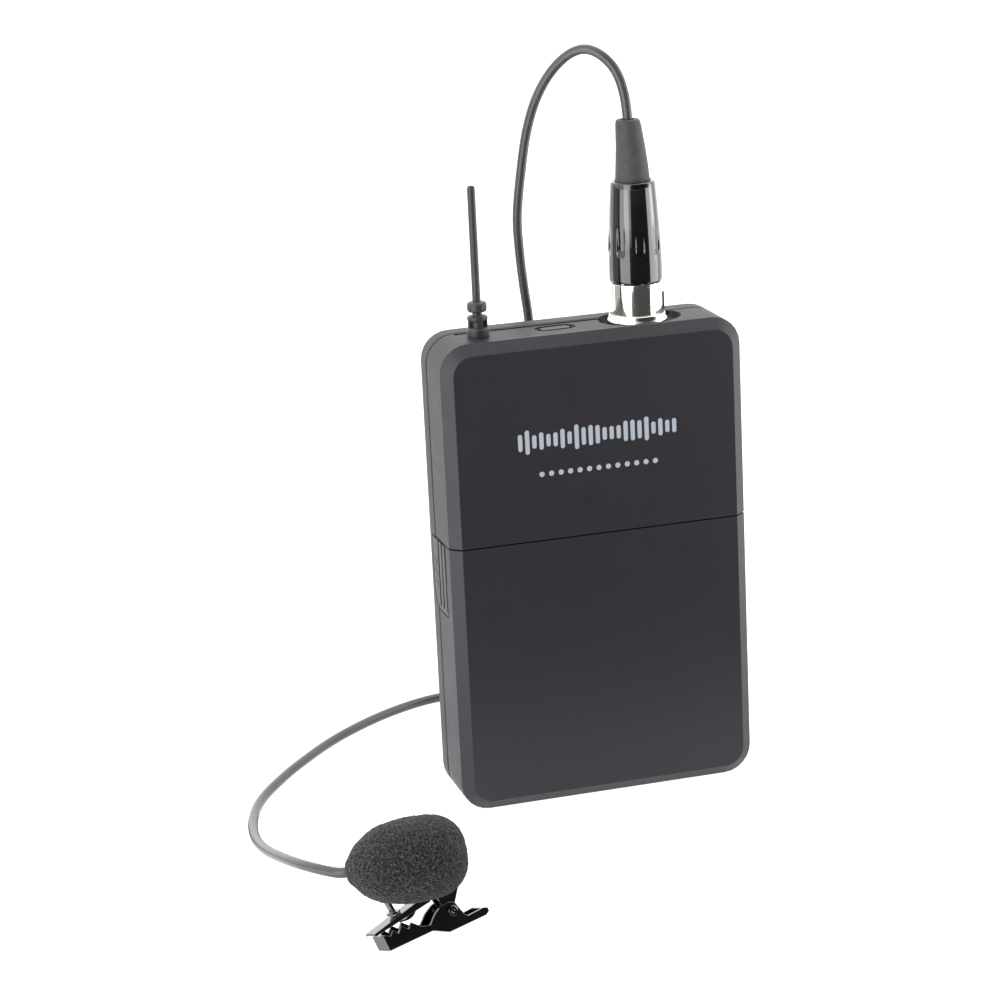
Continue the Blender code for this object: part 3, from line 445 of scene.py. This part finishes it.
def eased(profile, reach, steps=5, closed=False):
    """Profile whose corners are replaced by short parabolas that start within the reach."""
    p = np.asarray(profile, float)
    if closed:
        p = np.vstack([p[-1:], p, p[:1]])
    back = p[:-2] - p[1:-1]
    ahead = p[2:] - p[1:-1]
    long_back = np.linalg.norm(back, axis=1, keepdims=True)
    long_ahead = np.linalg.norm(ahead, axis=1, keepdims=True)
    start = p[1:-1] + back / long_back * np.minimum(reach, 0.45 * long_back)
    stop = p[1:-1] + ahead / long_ahead * np.minimum(reach, 0.45 * long_ahead)
    t = np.linspace(0.0, 1.0, steps)[None, :, None]
    arcs = (1 - t) ** 2 * start[:, None] + 2 * t * (1 - t) * p[1:-1][:, None] + t ** 2 * stop[:, None]
    arcs = arcs.reshape(-1, p.shape[1])
    return arcs if closed else np.vstack([p[:1], arcs, p[-1:]])


def spun(profile, place, sides=96):
    """Rings of a turned shape: each (radius, height) of the profile carried round the third axis."""
    profile = np.asarray(profile, float)
    angle = np.linspace(0, 2 * np.pi, sides, endpoint=False)
    return waved(np.broadcast_to(profile[:, :1], (len(profile), sides)), profile[:, 1:2], angle, place)


def waved(radius, height, angle, place):
    """Rings whose radius may differ at each angle, carried round the third axis."""
    x = radius * np.cos(angle)
    y = radius * np.sin(angle)
    return moved(np.stack([x, y, np.broadcast_to(height, x.shape)], -1), place)


def finer(profile, count, closed=False):
    """Profile set again at a number of places, evenly by its own points."""
    if closed:
        profile = np.vstack([profile, profile[:1]])
    fine = np.linspace(0, len(profile) - 1, count, endpoint=not closed)
    return np.stack([np.interp(fine, np.arange(len(profile)), profile[:, k]) for k in (0, 1)], -1)


def spline(points, steps):
    """Smooth curve through the points: a cubic on each span whose slopes span its neighbours."""
    p = np.asarray(points, float)
    p = np.vstack([2 * p[0] - p[1], p, 2 * p[-1] - p[-2]])
    a, b, c, d = p[:-3, None], p[1:-2, None], p[2:-1, None], p[3:, None]
    t = np.linspace(0, 1, steps, endpoint=False)[None, :, None]
    curve = 0.5 * (2 * b + (c - a) * t + (2 * a - 5 * b + 4 * c - d) * t ** 2
                   + (3 * b - a - 3 * c + d) * t ** 3)
    return np.vstack([curve.reshape(-1, p.shape[1]), p[-2:-1]])


def evenly(curve, spacing):
    """The curve's points set again at equal distances along it."""
    run = np.concatenate([[0.0], np.cumsum(np.linalg.norm(np.diff(curve, axis=0), axis=1))])
    goal = np.linspace(0, run[-1], int(round(run[-1] / spacing)) + 1)
    return np.stack([np.interp(goal, run, curve[:, k]) for k in range(3)], -1)


def coiled_wire(radius, low, high, turns, place, thickness, name, body, node):
    """Spring: a wire carried round the third axis while it climbs from low to high."""
    t = np.linspace(0, 1, 40 * turns + 1)
    angle = 2 * np.pi * turns * t
    line = np.stack([radius * np.cos(angle), radius * np.sin(angle), low + (high - low) * t], -1)
    climb = np.full_like(t, (high - low) / turns / (2 * np.pi))
    tangent = np.stack([-radius * np.sin(angle), radius * np.cos(angle), climb], -1)
    tangent /= np.linalg.norm(tangent, axis=1, keepdims=True)
    outward = np.stack([np.cos(angle), np.sin(angle), np.zeros_like(t)], -1)
    over = np.cross(tangent, outward)
    around = np.linspace(0, 2 * np.pi, 10, endpoint=False)
    rings = line[:, None] + thickness * (outward[:, None] * np.cos(around)[None, :, None]
                                         + over[:, None] * np.sin(around)[None, :, None])
    return solid(name, moved(rings, place), STEEL, body, stands_for=(node,))


def smoothstep(x, low, high):
    """0 below low, 1 above high and a smooth rise between."""
    t = np.clip((x - low) / (high - low), 0, 1)
    return t * t * (3 - 2 * t)


def lattice_noise(points, cell, seed):
    """Smooth random height at each point: random corner values of a cubic lattice, blended."""
    values = np.random.default_rng(seed).random((32, 32, 32))
    q = points / cell
    low = np.floor(q).astype(int)
    f = q - low
    f = f * f * (3 - 2 * f)
    total = np.zeros(len(points))
    for i in (0, 1):
        for j in (0, 1):
            for k in (0, 1):
                corner = values[(low[:, 0] + i) % 32, (low[:, 1] + j) % 32, (low[:, 2] + k) % 32]
                share = (f[:, 0] if i else 1 - f[:, 0]) * (f[:, 1] if j else 1 - f[:, 1])
                total += corner * share * (f[:, 2] if k else 1 - f[:, 2])
    return total


def smoothed_copy(node, look, body, sharp=34.0):
    """Copy of a frame node, its loose triangles merged and its flat faces kept flat in shading."""
    bm = bmesh.new()
    bm.from_mesh(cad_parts[node].data)
    bmesh.ops.remove_doubles(bm, verts=bm.verts, dist=2e-6)
    bmesh.ops.dissolve_limit(bm, angle_limit=math.radians(0.6), verts=bm.verts, edges=bm.edges)
    mesh = bpy.data.meshes.new(node + "_skin")
    bm.to_mesh(mesh)
    bm.free()
    mesh.shade_smooth()
    mesh.set_sharp_from_angle(angle=math.radians(sharp))
    mesh.materials.clear()
    mesh.materials.append(look)
    obj = placed(node + "_skin", mesh)
    even = obj.modifiers.new("even_normals", "WEIGHTED_NORMAL")
    even.keep_sharp = True
    even.weight = 100
    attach(obj, body)
    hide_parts(node)
    return obj


def refinish(look, *nodes):
    """Give frame nodes a look and leave their shapes alone."""
    for node in nodes:
        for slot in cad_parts[node].material_slots:
            slot.material = look


# ---------------------------------------------------------------- case

def case():
    """Shells, top plate, door, tabs and button, with the belt clip, print and marks on them."""
    for node, look, body in (("front_shell", CASE_PAINTED_DISH_SHADE, "pack"), ("rear_shell", CASE_PAINTED_DISH_SHADE, "pack"),
                             ("top_plate", CASE_PAINTED_RING_SHADE, "pack"), ("battery_door", CASE, "door"),
                             ("latch_tab_left", KEY, "left_latch"), ("latch_tab_right", KEY, "right_latch"),
                             ("power_button", KEY, "power_key")):
        smoothed_copy(node, look, body)
    belt_lever()
    panel_print()
    latch_marks()


def panel_print():
    """Printed level-meter mark: upright bars whose heights swell and fade along the row."""
    ink = panel_ink()
    bars = 23
    index = np.arange(bars)
    across = -17.0 + 34.0 * (index + 0.5) / bars
    swell = 0.35 + 0.65 * np.abs(np.sin(1.3 * index + 0.4) * np.cos(0.37 * index))
    stack = [plate_at(across[k], 77.1, 0.46, 0.5 + 2.1 * swell[k]) for k in range(bars)]
    dots = -12.0 + 24.0 * np.arange(13) / 12
    stack += [plate_at(x, 70.2, 0.55, 0.55) for x in dots]
    made("panel_print", *joined(stack), ink, "pack")


def plate_at(x, z, half_width, half_height, lift=0.02):
    """Thin round-ended plate lying on the front panel."""
    angle = np.linspace(0, 2 * np.pi, 24, endpoint=False)
    round_x = half_width * np.cos(angle)
    round_z = half_width * np.sin(angle) + np.sign(np.sin(angle) + 1e-9) * max(half_height - half_width, 0.0)
    rim = np.stack([x + round_x, np.full(24, FRONT + 0.02), z + round_z], -1)
    top = rim + (0.0, -0.02 - lift, 0.0)
    step = list(range(24))
    faces = [step, [24 + i for i in step]] + [[i, (i + 1) % 24, 24 + (i + 1) % 24, 24 + i] for i in step]
    return np.vstack([rim, top]), faces


def belt_lever():
    """Belt clip: its curved side outline, with grip ridges on the thumb pad, drawn across the pack."""
    outline = [(10.5, 84.0), (12.0, 84.6), (13.2, 80.0), (14.6, 74.0), (15.2, 60.0), (14.6, 46.0), (12.6, 39.0),
               (11.4, 37.4), (10.0, 38.0), (11.0, 40.6), (12.6, 47.0), (13.4, 60.0), (12.9, 69.8), (10.9, 71.5),
               (10.4, 76.5), (11.2, 80.0)]
    bend = eased(outline, 3.0, 8, closed=True)
    bend = evenly(np.column_stack([np.vstack([bend, bend[:1]]), np.zeros(len(bend) + 1)]), 0.2)[:-1, :2]
    pad = smoothstep(bend[:, 1], 77.2, 77.6) * (1 - smoothstep(bend[:, 1], 83.4, 83.8)) * (bend[:, 0] > 11.9)
    bend[:, 0] += 0.25 * pad * smoothstep(np.cos(2 * np.pi * bend[:, 1] / 1.5), -0.2, 0.2)
    across = np.array([-8.4, 8.4])
    rings = np.stack([np.broadcast_to(across[:, None], (2, len(bend))),
                      np.broadcast_to(bend[None, :, 0], (2, len(bend))),
                      np.broadcast_to(bend[None, :, 1], (2, len(bend)))], -1)
    count = len(bend)
    faces = quads(2, count, False).tolist() + [list(range(count)), list(range(count, 2 * count))]
    lever = made("belt_lever_skin", rings.reshape(-1, 3), faces, CASE, "belt_lever", stands_for=("belt_clip",))
    windowed(lever, (-3.4, 9.0, 69.4), (3.4, 14.2, 76.9))


def latch_marks():
    """Raised arrowheads on each latch tab, pointing the way the door opens."""
    for side, body in ((-1, "left_latch"), (1, "right_latch")):
        marks = []
        for k in range(3):
            middle = 50.6 - 2.4 * k
            rim = np.array([(0.0, 4.85, middle + 0.9), (0.0, 4.85, middle - 0.9), (0.0, 3.6, middle)])
            outer = rim + (side * (SIDE + 0.08), 0.0, 0.0)
            inner = rim + (side * (SIDE - 0.05), 0.0, 0.0)
            marks.append((np.vstack([inner, outer]),
                          [(0, 1, 2), (3, 4, 5), (0, 1, 4, 3), (1, 2, 5, 4), (2, 0, 3, 5)]))
        made(f"{body}_mark", *joined(marks), TRIM, body)


# ---------------------------------------------------------------- top end

def antenna():
    """Base drum with four windows, a neck, a bead and the whip, all turned about one axis."""
    place = upright(*ANTENNA)
    outline = eased([(1.0, 97.0), (2.15, 97.0), (2.25, 98.3), (2.2, 99.5), (1.98, 99.7), (1.98, 101.4),
                     (2.1, 101.55), (2.0, 102.1), (1.05, 102.25)], 0.16)
    outline = finer(outline, 150)
    angle = np.linspace(0, 2 * np.pi, 128, endpoint=False)
    open_z = smoothstep(outline[:, 1], 99.8, 99.95) * (1 - smoothstep(outline[:, 1], 101.15, 101.3))
    open_a = smoothstep(np.cos(4 * angle + np.pi), -0.35, -0.05)
    radius = outline[:, :1] - 0.8 * open_z[:, None] * open_a[None, :]
    drum = waved(radius, outline[:, 1:2], angle, place)
    solid("antenna_drum", drum, TRIM, "pack", stands_for=("antenna_barrel",))
    bead = eased([(0.7, 102.95), (1.75, 103.0), (1.98, 103.4), (1.98, 104.5), (1.75, 104.95), (0.7, 105.0)], 0.25)
    solid("antenna_bead", spun(bead, place, 64), TRIM, "pack", stands_for=("antenna_collar",))
    whip = eased([(0.98, 90.0), (0.98, 102.6), (0.83, 103.2), (0.8, 127.7), (0.62, 128.25), (0.1, 128.3)], 0.3)
    solid("antenna_rod", spun(whip, place, 48), TRIM, "pack", stands_for=("antenna_whip",))


def plug():
    """Socket flange, plated shell, glossy sleeve with shallow grip flats, and bent boot."""
    place = upright(*SOCKET)
    flange = [(5.42, 84.2), (5.8, 84.2), (5.85, 97.1), (6.15, 97.4), (6.2, 97.85), (5.9, 98.35), (5.66, 99.1),
              (5.42, 99.2)]
    hoop("socket_flange", spun(eased(flange, 0.22, closed=True), place, 128), NICKEL, "pack",
         stands_for=("socket_shell",))
    shell = hoop("plug_barrel", spun(eased([(4.55, 88.3), (5.2, 88.3), (5.2, 105.5), (4.55, 105.5)], 0.1,
                                           closed=True), place, 160), NICKEL, "pack", stands_for=("plug_shell",))
    x, y = SOCKET
    windowed(shell, (x + 2.0, y - 1.25, 98.9), (x + 9.0, y + 1.25, 103.3))
    smoothed_copy("plug_latch", NICKEL, "plug_catch")
    sleeve(place)
    boot()


def windowed(piece, low, high):
    """Cut a box between two corners out of a finished piece."""
    (x0, y0, z0), (x1, y1, z1) = np.array((low, high)) * MM
    mesh = bpy.data.meshes.new("window")
    mesh.from_pydata([(x, y, z) for z in (z0, z1) for x, y in ((x0, y0), (x1, y0), (x1, y1), (x0, y1))], [],
                     [(3, 2, 1, 0), (4, 5, 6, 7), (0, 1, 5, 4), (1, 2, 6, 5), (2, 3, 7, 6), (3, 0, 4, 7)])
    cutter = placed("window", mesh)
    step = piece.modifiers.new("window", "BOOLEAN")
    step.operation = "DIFFERENCE"
    step.solver = "EXACT"
    step.object = cutter
    graph = bpy.context.evaluated_depsgraph_get()
    cut = bpy.data.meshes.new_from_object(piece.evaluated_get(graph))
    piece.modifiers.clear()
    piece.data = cut
    bpy.data.objects.remove(cutter, do_unlink=True)


def sleeve(place):
    """Tapered ring; eight flats sink into it, deepest at a step below and fading upwards."""
    outer = [(5.22, 105.72), (5.45, 106.0), (5.46, 109.0), (5.34, 113.0), (5.13, 117.0), (4.85, 121.5), (4.6, 125.0),
             (4.5, 125.85)]
    inner = [(4.2, 126.05), (3.85, 125.95), (3.66, 125.6), (3.66, 124.0), (4.2, 123.0), (4.7, 106.2), (4.8, 105.72)]
    profile = finer(eased(outer + inner, 0.2, closed=True), 420, closed=True)
    outside = profile[:, 0] > 4.75
    angle = np.linspace(0, 2 * np.pi, 256, endpoint=False)
    flat = smoothstep(np.cos(8 * (angle + math.radians(6.0))), 0.1, 0.45)
    low = smoothstep(profile[:, 1], 111.9, 112.15) * (1 - smoothstep(profile[:, 1], 112.5, 118.5)) * outside
    radius = profile[:, :1] - 0.3 * low[:, None] * flat[None, :]
    rings = waved(radius, profile[:, 1:2], angle, place)
    hoop("plug_grip", rings, GLOSS, "pack", stands_for=("plug_sleeve",), sharp=50)


def boot():
    """Tapered rubber boot that leans with the cord, its mouth rolled in round the cord."""
    outer = [(3.0, 124.6), (3.5, 124.6), (3.5, 126.2), (3.3, 129.0), (2.95, 133.0), (2.6, 137.2), (2.45, 138.1),
             (2.1, 138.4), (1.6, 138.4), (1.25, 138.1), (1.1, 136.5)]
    profile = eased(outer, 0.35, 6)
    rings = spun(profile, upright(*SOCKET), 96)
    rings[..., 0] -= 0.6 * np.clip((rings[..., 2] - 126.3) / 12.0, 0, 1.2) ** 2
    solid("plug_boot_skin", rings, BOOT, "pack", stands_for=("plug_boot",), sharp=60)


# ---------------------------------------------------------------- cord

FROM_PLUG = [
    (11.7, 0.3, 138.9), (11.3, 0.7, 143.4), (10.2, 1.7, 147.7), (8.0, 3.2, 150.8),
    (5.1, 5.2, 152.3), (2.1, 7.5, 151.1), (-1.0, 10.0, 147.5), (-3.4, 12.5, 142.3),
    (-4.8, 15.0, 136.1), (-5.6, 17.2, 129.0), (-6.3, 20.0, 118.0), (-5.8, 21.5, 110.0),
    (-4.9, 22.5, 102.0), (-3.9, 23.2, 94.0), (-2.9, 24.0, 78.0), (-2.8, 24.6, 58.0),
    (-3.2, 25.0, 40.0), (-2.6, 25.4, 27.0), (-0.6, 26.2, 17.5), (2.6, 27.1, 11.8), (6.3, 28.15, 8.95),
]
TO_MIC = [
    (9.4, 56.4, 1.15), (1.0, 59.1, 1.05), (-8.0, 60.3, 1.05), (-17.5, 60.2, 1.05), (-25.6, 57.9, 1.05),
    (-35.6, 52.2, 1.05), (-46.6, 43.2, 1.05), (-56.4, 32.4, 1.05), (-64.1, 22.3, 1.05),
    (-70.0, 12.2, 1.3), (-74.0, 0.0, 2.3), (-76.4, -14.5, 4.4), (-77.2, -29.0, 7.6),
    (-76.8, -43.0, 11.3), (-75.6, -53.5, 13.9), (-73.4, -60.2, 15.1), (-70.28, -64.08, 15.3),
]
CORD_D = 2.0
COIL_CENTRE = (14.0, 41.0)
COIL_R = 12.0
STRAND_RISE = 1.73
LOWEST_STRAND = 1.05
BUNDLE_MIDDLE = 4.51
TURN_PLACES = [(0, 4), (1, 3), (-1, 3), (-2, 2), (0, 2), (2, 2), (3, 1), (1, 1), (-1, 1), (-3, 1),
               (-2, 0), (0, 0), (2, 0)]


def coil_route():
    """Turns of the tied coil: each goes round once, then steps to its neighbour under the tie.

    A turn's place is how far out it lies in millimetres and which layer it is in. The bundle is
    drawn towards its middle where the tie is.
    """
    places = np.array(TURN_PLACES, float)
    angle = np.radians(np.arange(288.0, 360.0 * len(places) - 360.0 + 76.0, 6.0))
    turn = angle / (2 * np.pi)
    near = np.round(turn)
    share = smoothstep(turn - near, -0.035, 0.035)
    before = np.clip(near - 1, 0, len(places) - 1).astype(int)
    after = np.clip(near, 0, len(places) - 1).astype(int)
    spot = places[before] * (1 - share[:, None]) + places[after] * share[:, None]
    squeeze = 1 - 0.2 * np.exp(-(((turn - near) / 0.055) ** 2))
    out = spot[:, 0] * squeeze
    up = BUNDLE_MIDDLE + (spot[:, 1] * STRAND_RISE + LOWEST_STRAND - BUNDLE_MIDDLE) * squeeze
    x = COIL_CENTRE[0] + (COIL_R + out) * np.cos(angle)
    y = COIL_CENTRE[1] + (COIL_R + out) * np.sin(angle)
    return np.stack([x, y, up], -1)


def cord():
    """One round cord: a curve from inside the boot, round the coil's turns and into the microphone."""
    inside_boot = [(11.95, 0.3, 135.0)]
    into_mic = [(-68.2, -64.75, 15.5)]
    coil = coil_route()
    route = np.vstack([spline(inside_boot + FROM_PLUG + [tuple(coil[0])], 24)[:-1], coil[1:-1],
                       spline([tuple(coil[-1])] + TO_MIC + into_mic, 24)])
    route = evenly(route, 0.9)
    smooth = route.copy()
    smooth[1:-1] = (route[:-2] + 2 * route[1:-1] + route[2:]) / 4
    length = np.linalg.norm(np.diff(smooth, axis=0), axis=1).sum()
    curve = bpy.data.curves.new("cord_run", "CURVE")
    curve.dimensions = "3D"
    curve.bevel_depth = CORD_D / 2 * MM
    curve.bevel_resolution = 4
    curve.use_fill_caps = True
    line = curve.splines.new("POLY")
    line.points.add(len(smooth) - 1)
    line.points.foreach_set("co", np.hstack([smooth * MM, np.ones((len(smooth), 1))]).ravel())
    line.use_smooth = True
    curve.materials.append(CORD)
    obj = placed("cord_run", curve)
    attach(obj, "pack")
    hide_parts("cord_from_plug", "cord_coil", "cord_to_mic")
    return obj, length * MM


def cord_tie():
    """Woven strap round the coil, with an overlapping end."""
    around = np.linspace(0, 2 * np.pi, 96, endpoint=False)
    section = eased([(0.0, -1.7), (0.42, -1.7), (0.42, 1.7), (0.0, 1.7)], 0.12, closed=True)
    lap = 0.3 * smoothstep(np.sin(around), 0.2, 0.35)
    radius = 4.1 + section[:, :1] + lap[None, :] * (section[:, :1] > 0.2)
    x = COIL_CENTRE[0] + COIL_R + radius * np.cos(around)
    z = 4.6 + radius * np.sin(around)
    y = np.broadcast_to(COIL_CENTRE[1] + section[:, 1:2], x.shape)
    hoop("coil_strap", np.stack([x, y, z], -1), woven_band(), "pack", stands_for=("coil_tie",))


# ---------------------------------------------------------------- microphone

def windscreen():
    """Foam egg: a smooth turned outline, pushed in and out by lattice noise at three sizes."""
    outline = spline([(1.2, -11.35), (1.5, -11.3), (2.1, -11.0), (3.1, -10.2), (4.6, -9.0), (5.8, -7.4), (6.9, -5.3),
                      (7.55, -2.7), (7.85, 0.0), (7.9, 2.7), (7.65, 5.1), (7.0, 7.3), (5.8, 9.1), (4.1, 10.4),
                      (2.1, 11.05), (0.05, 11.25)], 24)
    place = MIC_ALONG.copy()
    place[:3, 3] += FOAM_SHIFT
    rings = spun(outline, place, 360)
    flat = rings.reshape(-1, 3)
    away = flat - (MIC[:3, 3] + FOAM_SHIFT)
    away /= np.linalg.norm(away, axis=1, keepdims=True)
    rough = (lattice_noise(flat, 0.5, 3) - 0.5) * 0.16 + (lattice_noise(flat, 0.3, 5) - 0.5) * 0.14
    broad = (lattice_noise(flat, 3.1, 8) - 0.5) * 0.25
    ends = np.clip(np.repeat(outline[:, 0], 360) / 2.0, 0, 1)
    rings = (flat + away * ((rough + broad) * ends)[:, None]).reshape(rings.shape)
    foam = solid("foam_screen", rings, FOAM, "pack", stands_for=("windscreen",), sharp=180)


def microphone():
    """Strain relief under the foam, and the body, grille and holder as they are in the frame."""
    relief = eased([(1.0, -6.2), (1.0, -9.2), (1.75, -9.3), (1.7, -10.0), (1.3, -11.15), (1.06, -11.25)], 0.15)
    solid("cord_relief", spun(relief, MIC_ALONG, 48), TRIM, "pack", stands_for=("mic_strain_relief",))
    smoothed_copy("mic_body", BLACK_PLATE, "pack")
    smoothed_copy("mic_grille", BLACK_PLATE, "pack")
    smoothed_copy("mic_holder", BLACK_PLATE, "pack")
    refinish(STEEL, "mic_capsule")


def tie_clip():
    """Lever and jaw from the frame, a turned rivet, its spring and a leaf-shaped pad under the strip."""
    smoothed_copy("clip_lever", BLACK_PLATE, "tie_clip_arm", 28.0)
    smoothed_copy("clip_jaw", BLACK_PLATE, "tie_clip_jaw", 28.0)
    eye = TIE @ np.array(Matrix.Translation(RIVET)) @ ALONG_Y
    head = eased([(0.05, -2.62), (0.35, -2.5), (0.6, -2.62), (1.0, -2.5), (1.08, -2.15), (0.5, -2.12), (0.5, 2.12),
                  (1.08, 2.15), (1.0, 2.5), (0.6, 2.62), (0.35, 2.5), (0.05, 2.62)], 0.12)
    solid("rivet", spun(head, eye, 48), BLACK_PLATE, "tie_clip_arm", stands_for=("clip_rivet",))
    coiled_wire(0.85, -0.6, 0.6, 3, eye, 0.16, "jaw_spring", "tie_clip_arm", "clip_spring")
    refinish(BLACK_PLATE, "holder_stud")
    along = np.linspace(0.0, 1.0, 25)
    half = 0.12 + 1.15 * np.sin(np.pi * along) ** 0.7
    section = eased([(-1.0, -0.14), (1.0, -0.14), (1.0, 0.14), (-1.0, 0.14)], 0.1, closed=True)
    x = np.broadcast_to((4.9 + 4.0 * along)[:, None], (25, len(section)))
    y = half[:, None] * section[None, :, 0]
    z = (3.72 + 0.85 * along - 0.35 * np.sin(np.pi * along))[:, None] + section[None, :, 1]
    solid("strip_pad", moved(np.stack([x, y, z], -1), TIE), BLACK_PLATE, "tie_clip_arm")


# ---------------------------------------------------------------- inside the pack

def insides():
    """Looks of what the shells hide, with real coils for the springs."""
    refinish(cell_jacket("cell_jacket_left", 6.5, 1), "battery_cell_left")
    refinish(cell_jacket("cell_jacket_right", 54.15, -1), "battery_cell_right")
    refinish(circuit_laminate(), "circuit_board")
    refinish(STEEL, "contact_bridge", "contact_plate_left", "contact_plate_right", "rf_shield", "hinge_pin_left",
             "hinge_pin_right", "belt_clip_pin")
    refinish(plain_steel("blackened_steel", (0.09, 0.09, 0.095), 0.3),
             "case_screw_1", "case_screw_2", "case_screw_3", "case_screw_4")
    refinish(GOLD, "antenna_socket", "socket_pin_1", "socket_pin_2", "socket_pin_3")
    refinish(INSULATOR, "tact_switch", "socket_insulator", "plug_insert")
    refinish(NICKEL, "socket_nut")
    coiled_wire(2.8, 0.0, 1.4, 3, upright(-CELL_X, 0.0, 4.75), 0.22, "cell_spring_lower", "pack",
                "contact_spring_lower")
    coiled_wire(2.8, 0.0, 1.3, 3, upright(CELL_X, 0.0, 54.5), 0.22, "cell_spring_upper", "pack",
                "contact_spring_upper")
    pin = np.array(Matrix.Translation((-2.4, *CLIP_PIVOT))) @ ALONG_X
    coiled_wire(1.55, 0.0, 4.8, 5, pin, 0.3, "belt_spring", "pack", "belt_clip_spring")
    for side, label in ((-1, "left"), (1, "right")):
        x, y, z = LATCH_SPRING
        place = np.array(Matrix.Translation((side * x, y, z)) @ Matrix.Rotation(side * math.pi / 2, 4, "Y"))
        spring = coiled_wire(1.3, 0.25, 2.55, 3, place, 0.18, f"tab_spring_{label}", "door", f"latch_spring_{label}")
        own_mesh(spring)


# ---------------------------------------------------------------- studio

def camera():
    """Long lens at the left front, a little above the pack, turned slightly about its own axis."""
    data = bpy.data.cameras.new("camera")
    data.lens = 107.1
    data.sensor_width = 36.0
    data.clip_start = 0.02
    data.clip_end = 30.0
    obj = placed("camera", data)
    back = Vector((-0.257, -0.927, 0.272)).normalized()
    right = Vector((0.959, -0.280, -0.047))
    right = (right - back * right.dot(back)).normalized()
    up = back.cross(right)
    turn = Matrix((right, up, back)).transposed().to_4x4()
    obj.matrix_world = Matrix.Translation((-0.1739, -0.5605, 0.2278)) @ turn
    bpy.context.scene.camera = obj


def soft_light(name, place, aim, size, power):
    """White rectangular light at a place, facing its aim."""
    data = bpy.data.lights.new(name, "AREA")
    data.shape = "RECTANGLE"
    data.size, data.size_y = size
    data.energy = power
    obj = placed(name, data)
    toward = Vector(place) - Vector(aim)
    obj.matrix_world = Matrix.Translation(place) @ toward.to_track_quat("Z", "Y").to_matrix().to_4x4()


def gloss_card(name, corners, glow=0.0):
    """Card that only reflections see: a black flag, or a bright panel if it glows."""
    sheet = bpy.data.meshes.new(name)
    sheet.from_pydata(corners, [], [tuple(range(len(corners)))])
    obj = placed(name, sheet)
    card = Net(name, Roughness=1.0, Emission_Strength=glow)
    tone = card.blend((0.004, 0.004, 0.004), (0.008, 0.008, 0.008), card.noise(30.0))
    sheet.materials.append(card.paint(Base_Color=tone, Emission_Color=(1.0, 1.0, 1.0)))
    for ray in ("camera", "diffuse", "shadow", "transmission", "volume_scatter"):
        setattr(obj, "visible_" + ray, False)


def fan(heading_low, heading_high, near):
    """Corners of a flat wedge just over the floor, between two headings in degrees from the plug."""
    far, lift = 7.0, 0.0015
    x, y = SOCKET[0] * MM, SOCKET[1] * MM
    corners = []
    for heading, reach in ((heading_low, near), (heading_low, far), (heading_high, far), (heading_high, near)):
        a = math.radians(heading)
        corners.append((x + reach * math.cos(a), y + reach * math.sin(a), lift))
    return corners


def studio():
    """Pale sweep in a bright tent, dim towards the right of the lens, with flags for the bright metal."""
    scene = bpy.context.scene
    scene.view_settings.view_transform = "Standard"
    world = bpy.data.worlds.new("tent")
    world.use_nodes = True
    nodes, links = world.node_tree.nodes, world.node_tree.links
    where = nodes.new("ShaderNodeTexCoord")
    toward = nodes.new("ShaderNodeVectorMath")
    toward.operation = "DOT_PRODUCT"
    toward.inputs[1].default_value = tuple(unit((0.3, -0.94, 0.12)))
    links.new(where.outputs["Generated"], toward.inputs[0])
    dim = nodes.new("ShaderNodeMapRange")
    dim.interpolation_type = "SMOOTHSTEP"
    for label, value in (("From Min", 0.4), ("From Max", 0.86), ("To Min", 1.75), ("To Max", 0.05)):
        dim.inputs[label].default_value = value
    links.new(toward.outputs["Value"], dim.inputs["Value"])
    links.new(dim.outputs["Result"], nodes["Background"].inputs["Strength"])
    nodes["Background"].inputs["Color"].default_value = (1.0, 1.0, 1.0, 1.0)
    scene.world = world
    soft_light("key", (-0.66, -0.6, 0.4), (0.0, 0.0, 0.09), (0.6, 0.8), 4.2)
    soft_light("overhead", (0.1, 0.25, 0.95), (0.0, 0.0, 0.05), (0.8, 0.6), 1.5)
    soft_light("strip", (0.85, -0.2, 0.35), (0.0, 0.0, 0.1), (0.3, 0.8), 2.2)
    gloss_card("front_flag", fan(-131.0, -44.0, 0.075))
    gloss_card("left_panel", fan(-176.0, -132.0, 0.14), 3.6)
    gloss_card("right_panel", fan(-43.0, 2.0, 0.14), 4.4)
    gloss_card("left_flag", fan(177.0, 184.0, 0.05))
    gloss_card("left_grey", fan(140.0, 177.0, 0.16), 0.45)
    sheet = bpy.data.meshes.new("sweep")
    sheet.from_pydata([(-8, -8, 0), (8, -8, 0), (8, 8, 0), (-8, 8, 0)], [], [(0, 1, 2, 3)])
    floor = placed("sweep", sheet)
    paper = Net("white_paper", Roughness=0.9)
    speck = paper.noise(400.0, 2.0)
    paper.paint(Base_Color=paper.blend((0.3, 0.3, 0.3), (0.32, 0.32, 0.32), speck),
                Emission_Color=(1.0, 1.0, 1.0), Emission_Strength=1.0)
    sheet.materials.append(paper.look)


camera()
studio()
cord_piece, cord_length = cord()
case()
antenna()
plug()
cord_tie()
windscreen()
microphone()
tie_clip()
insides()
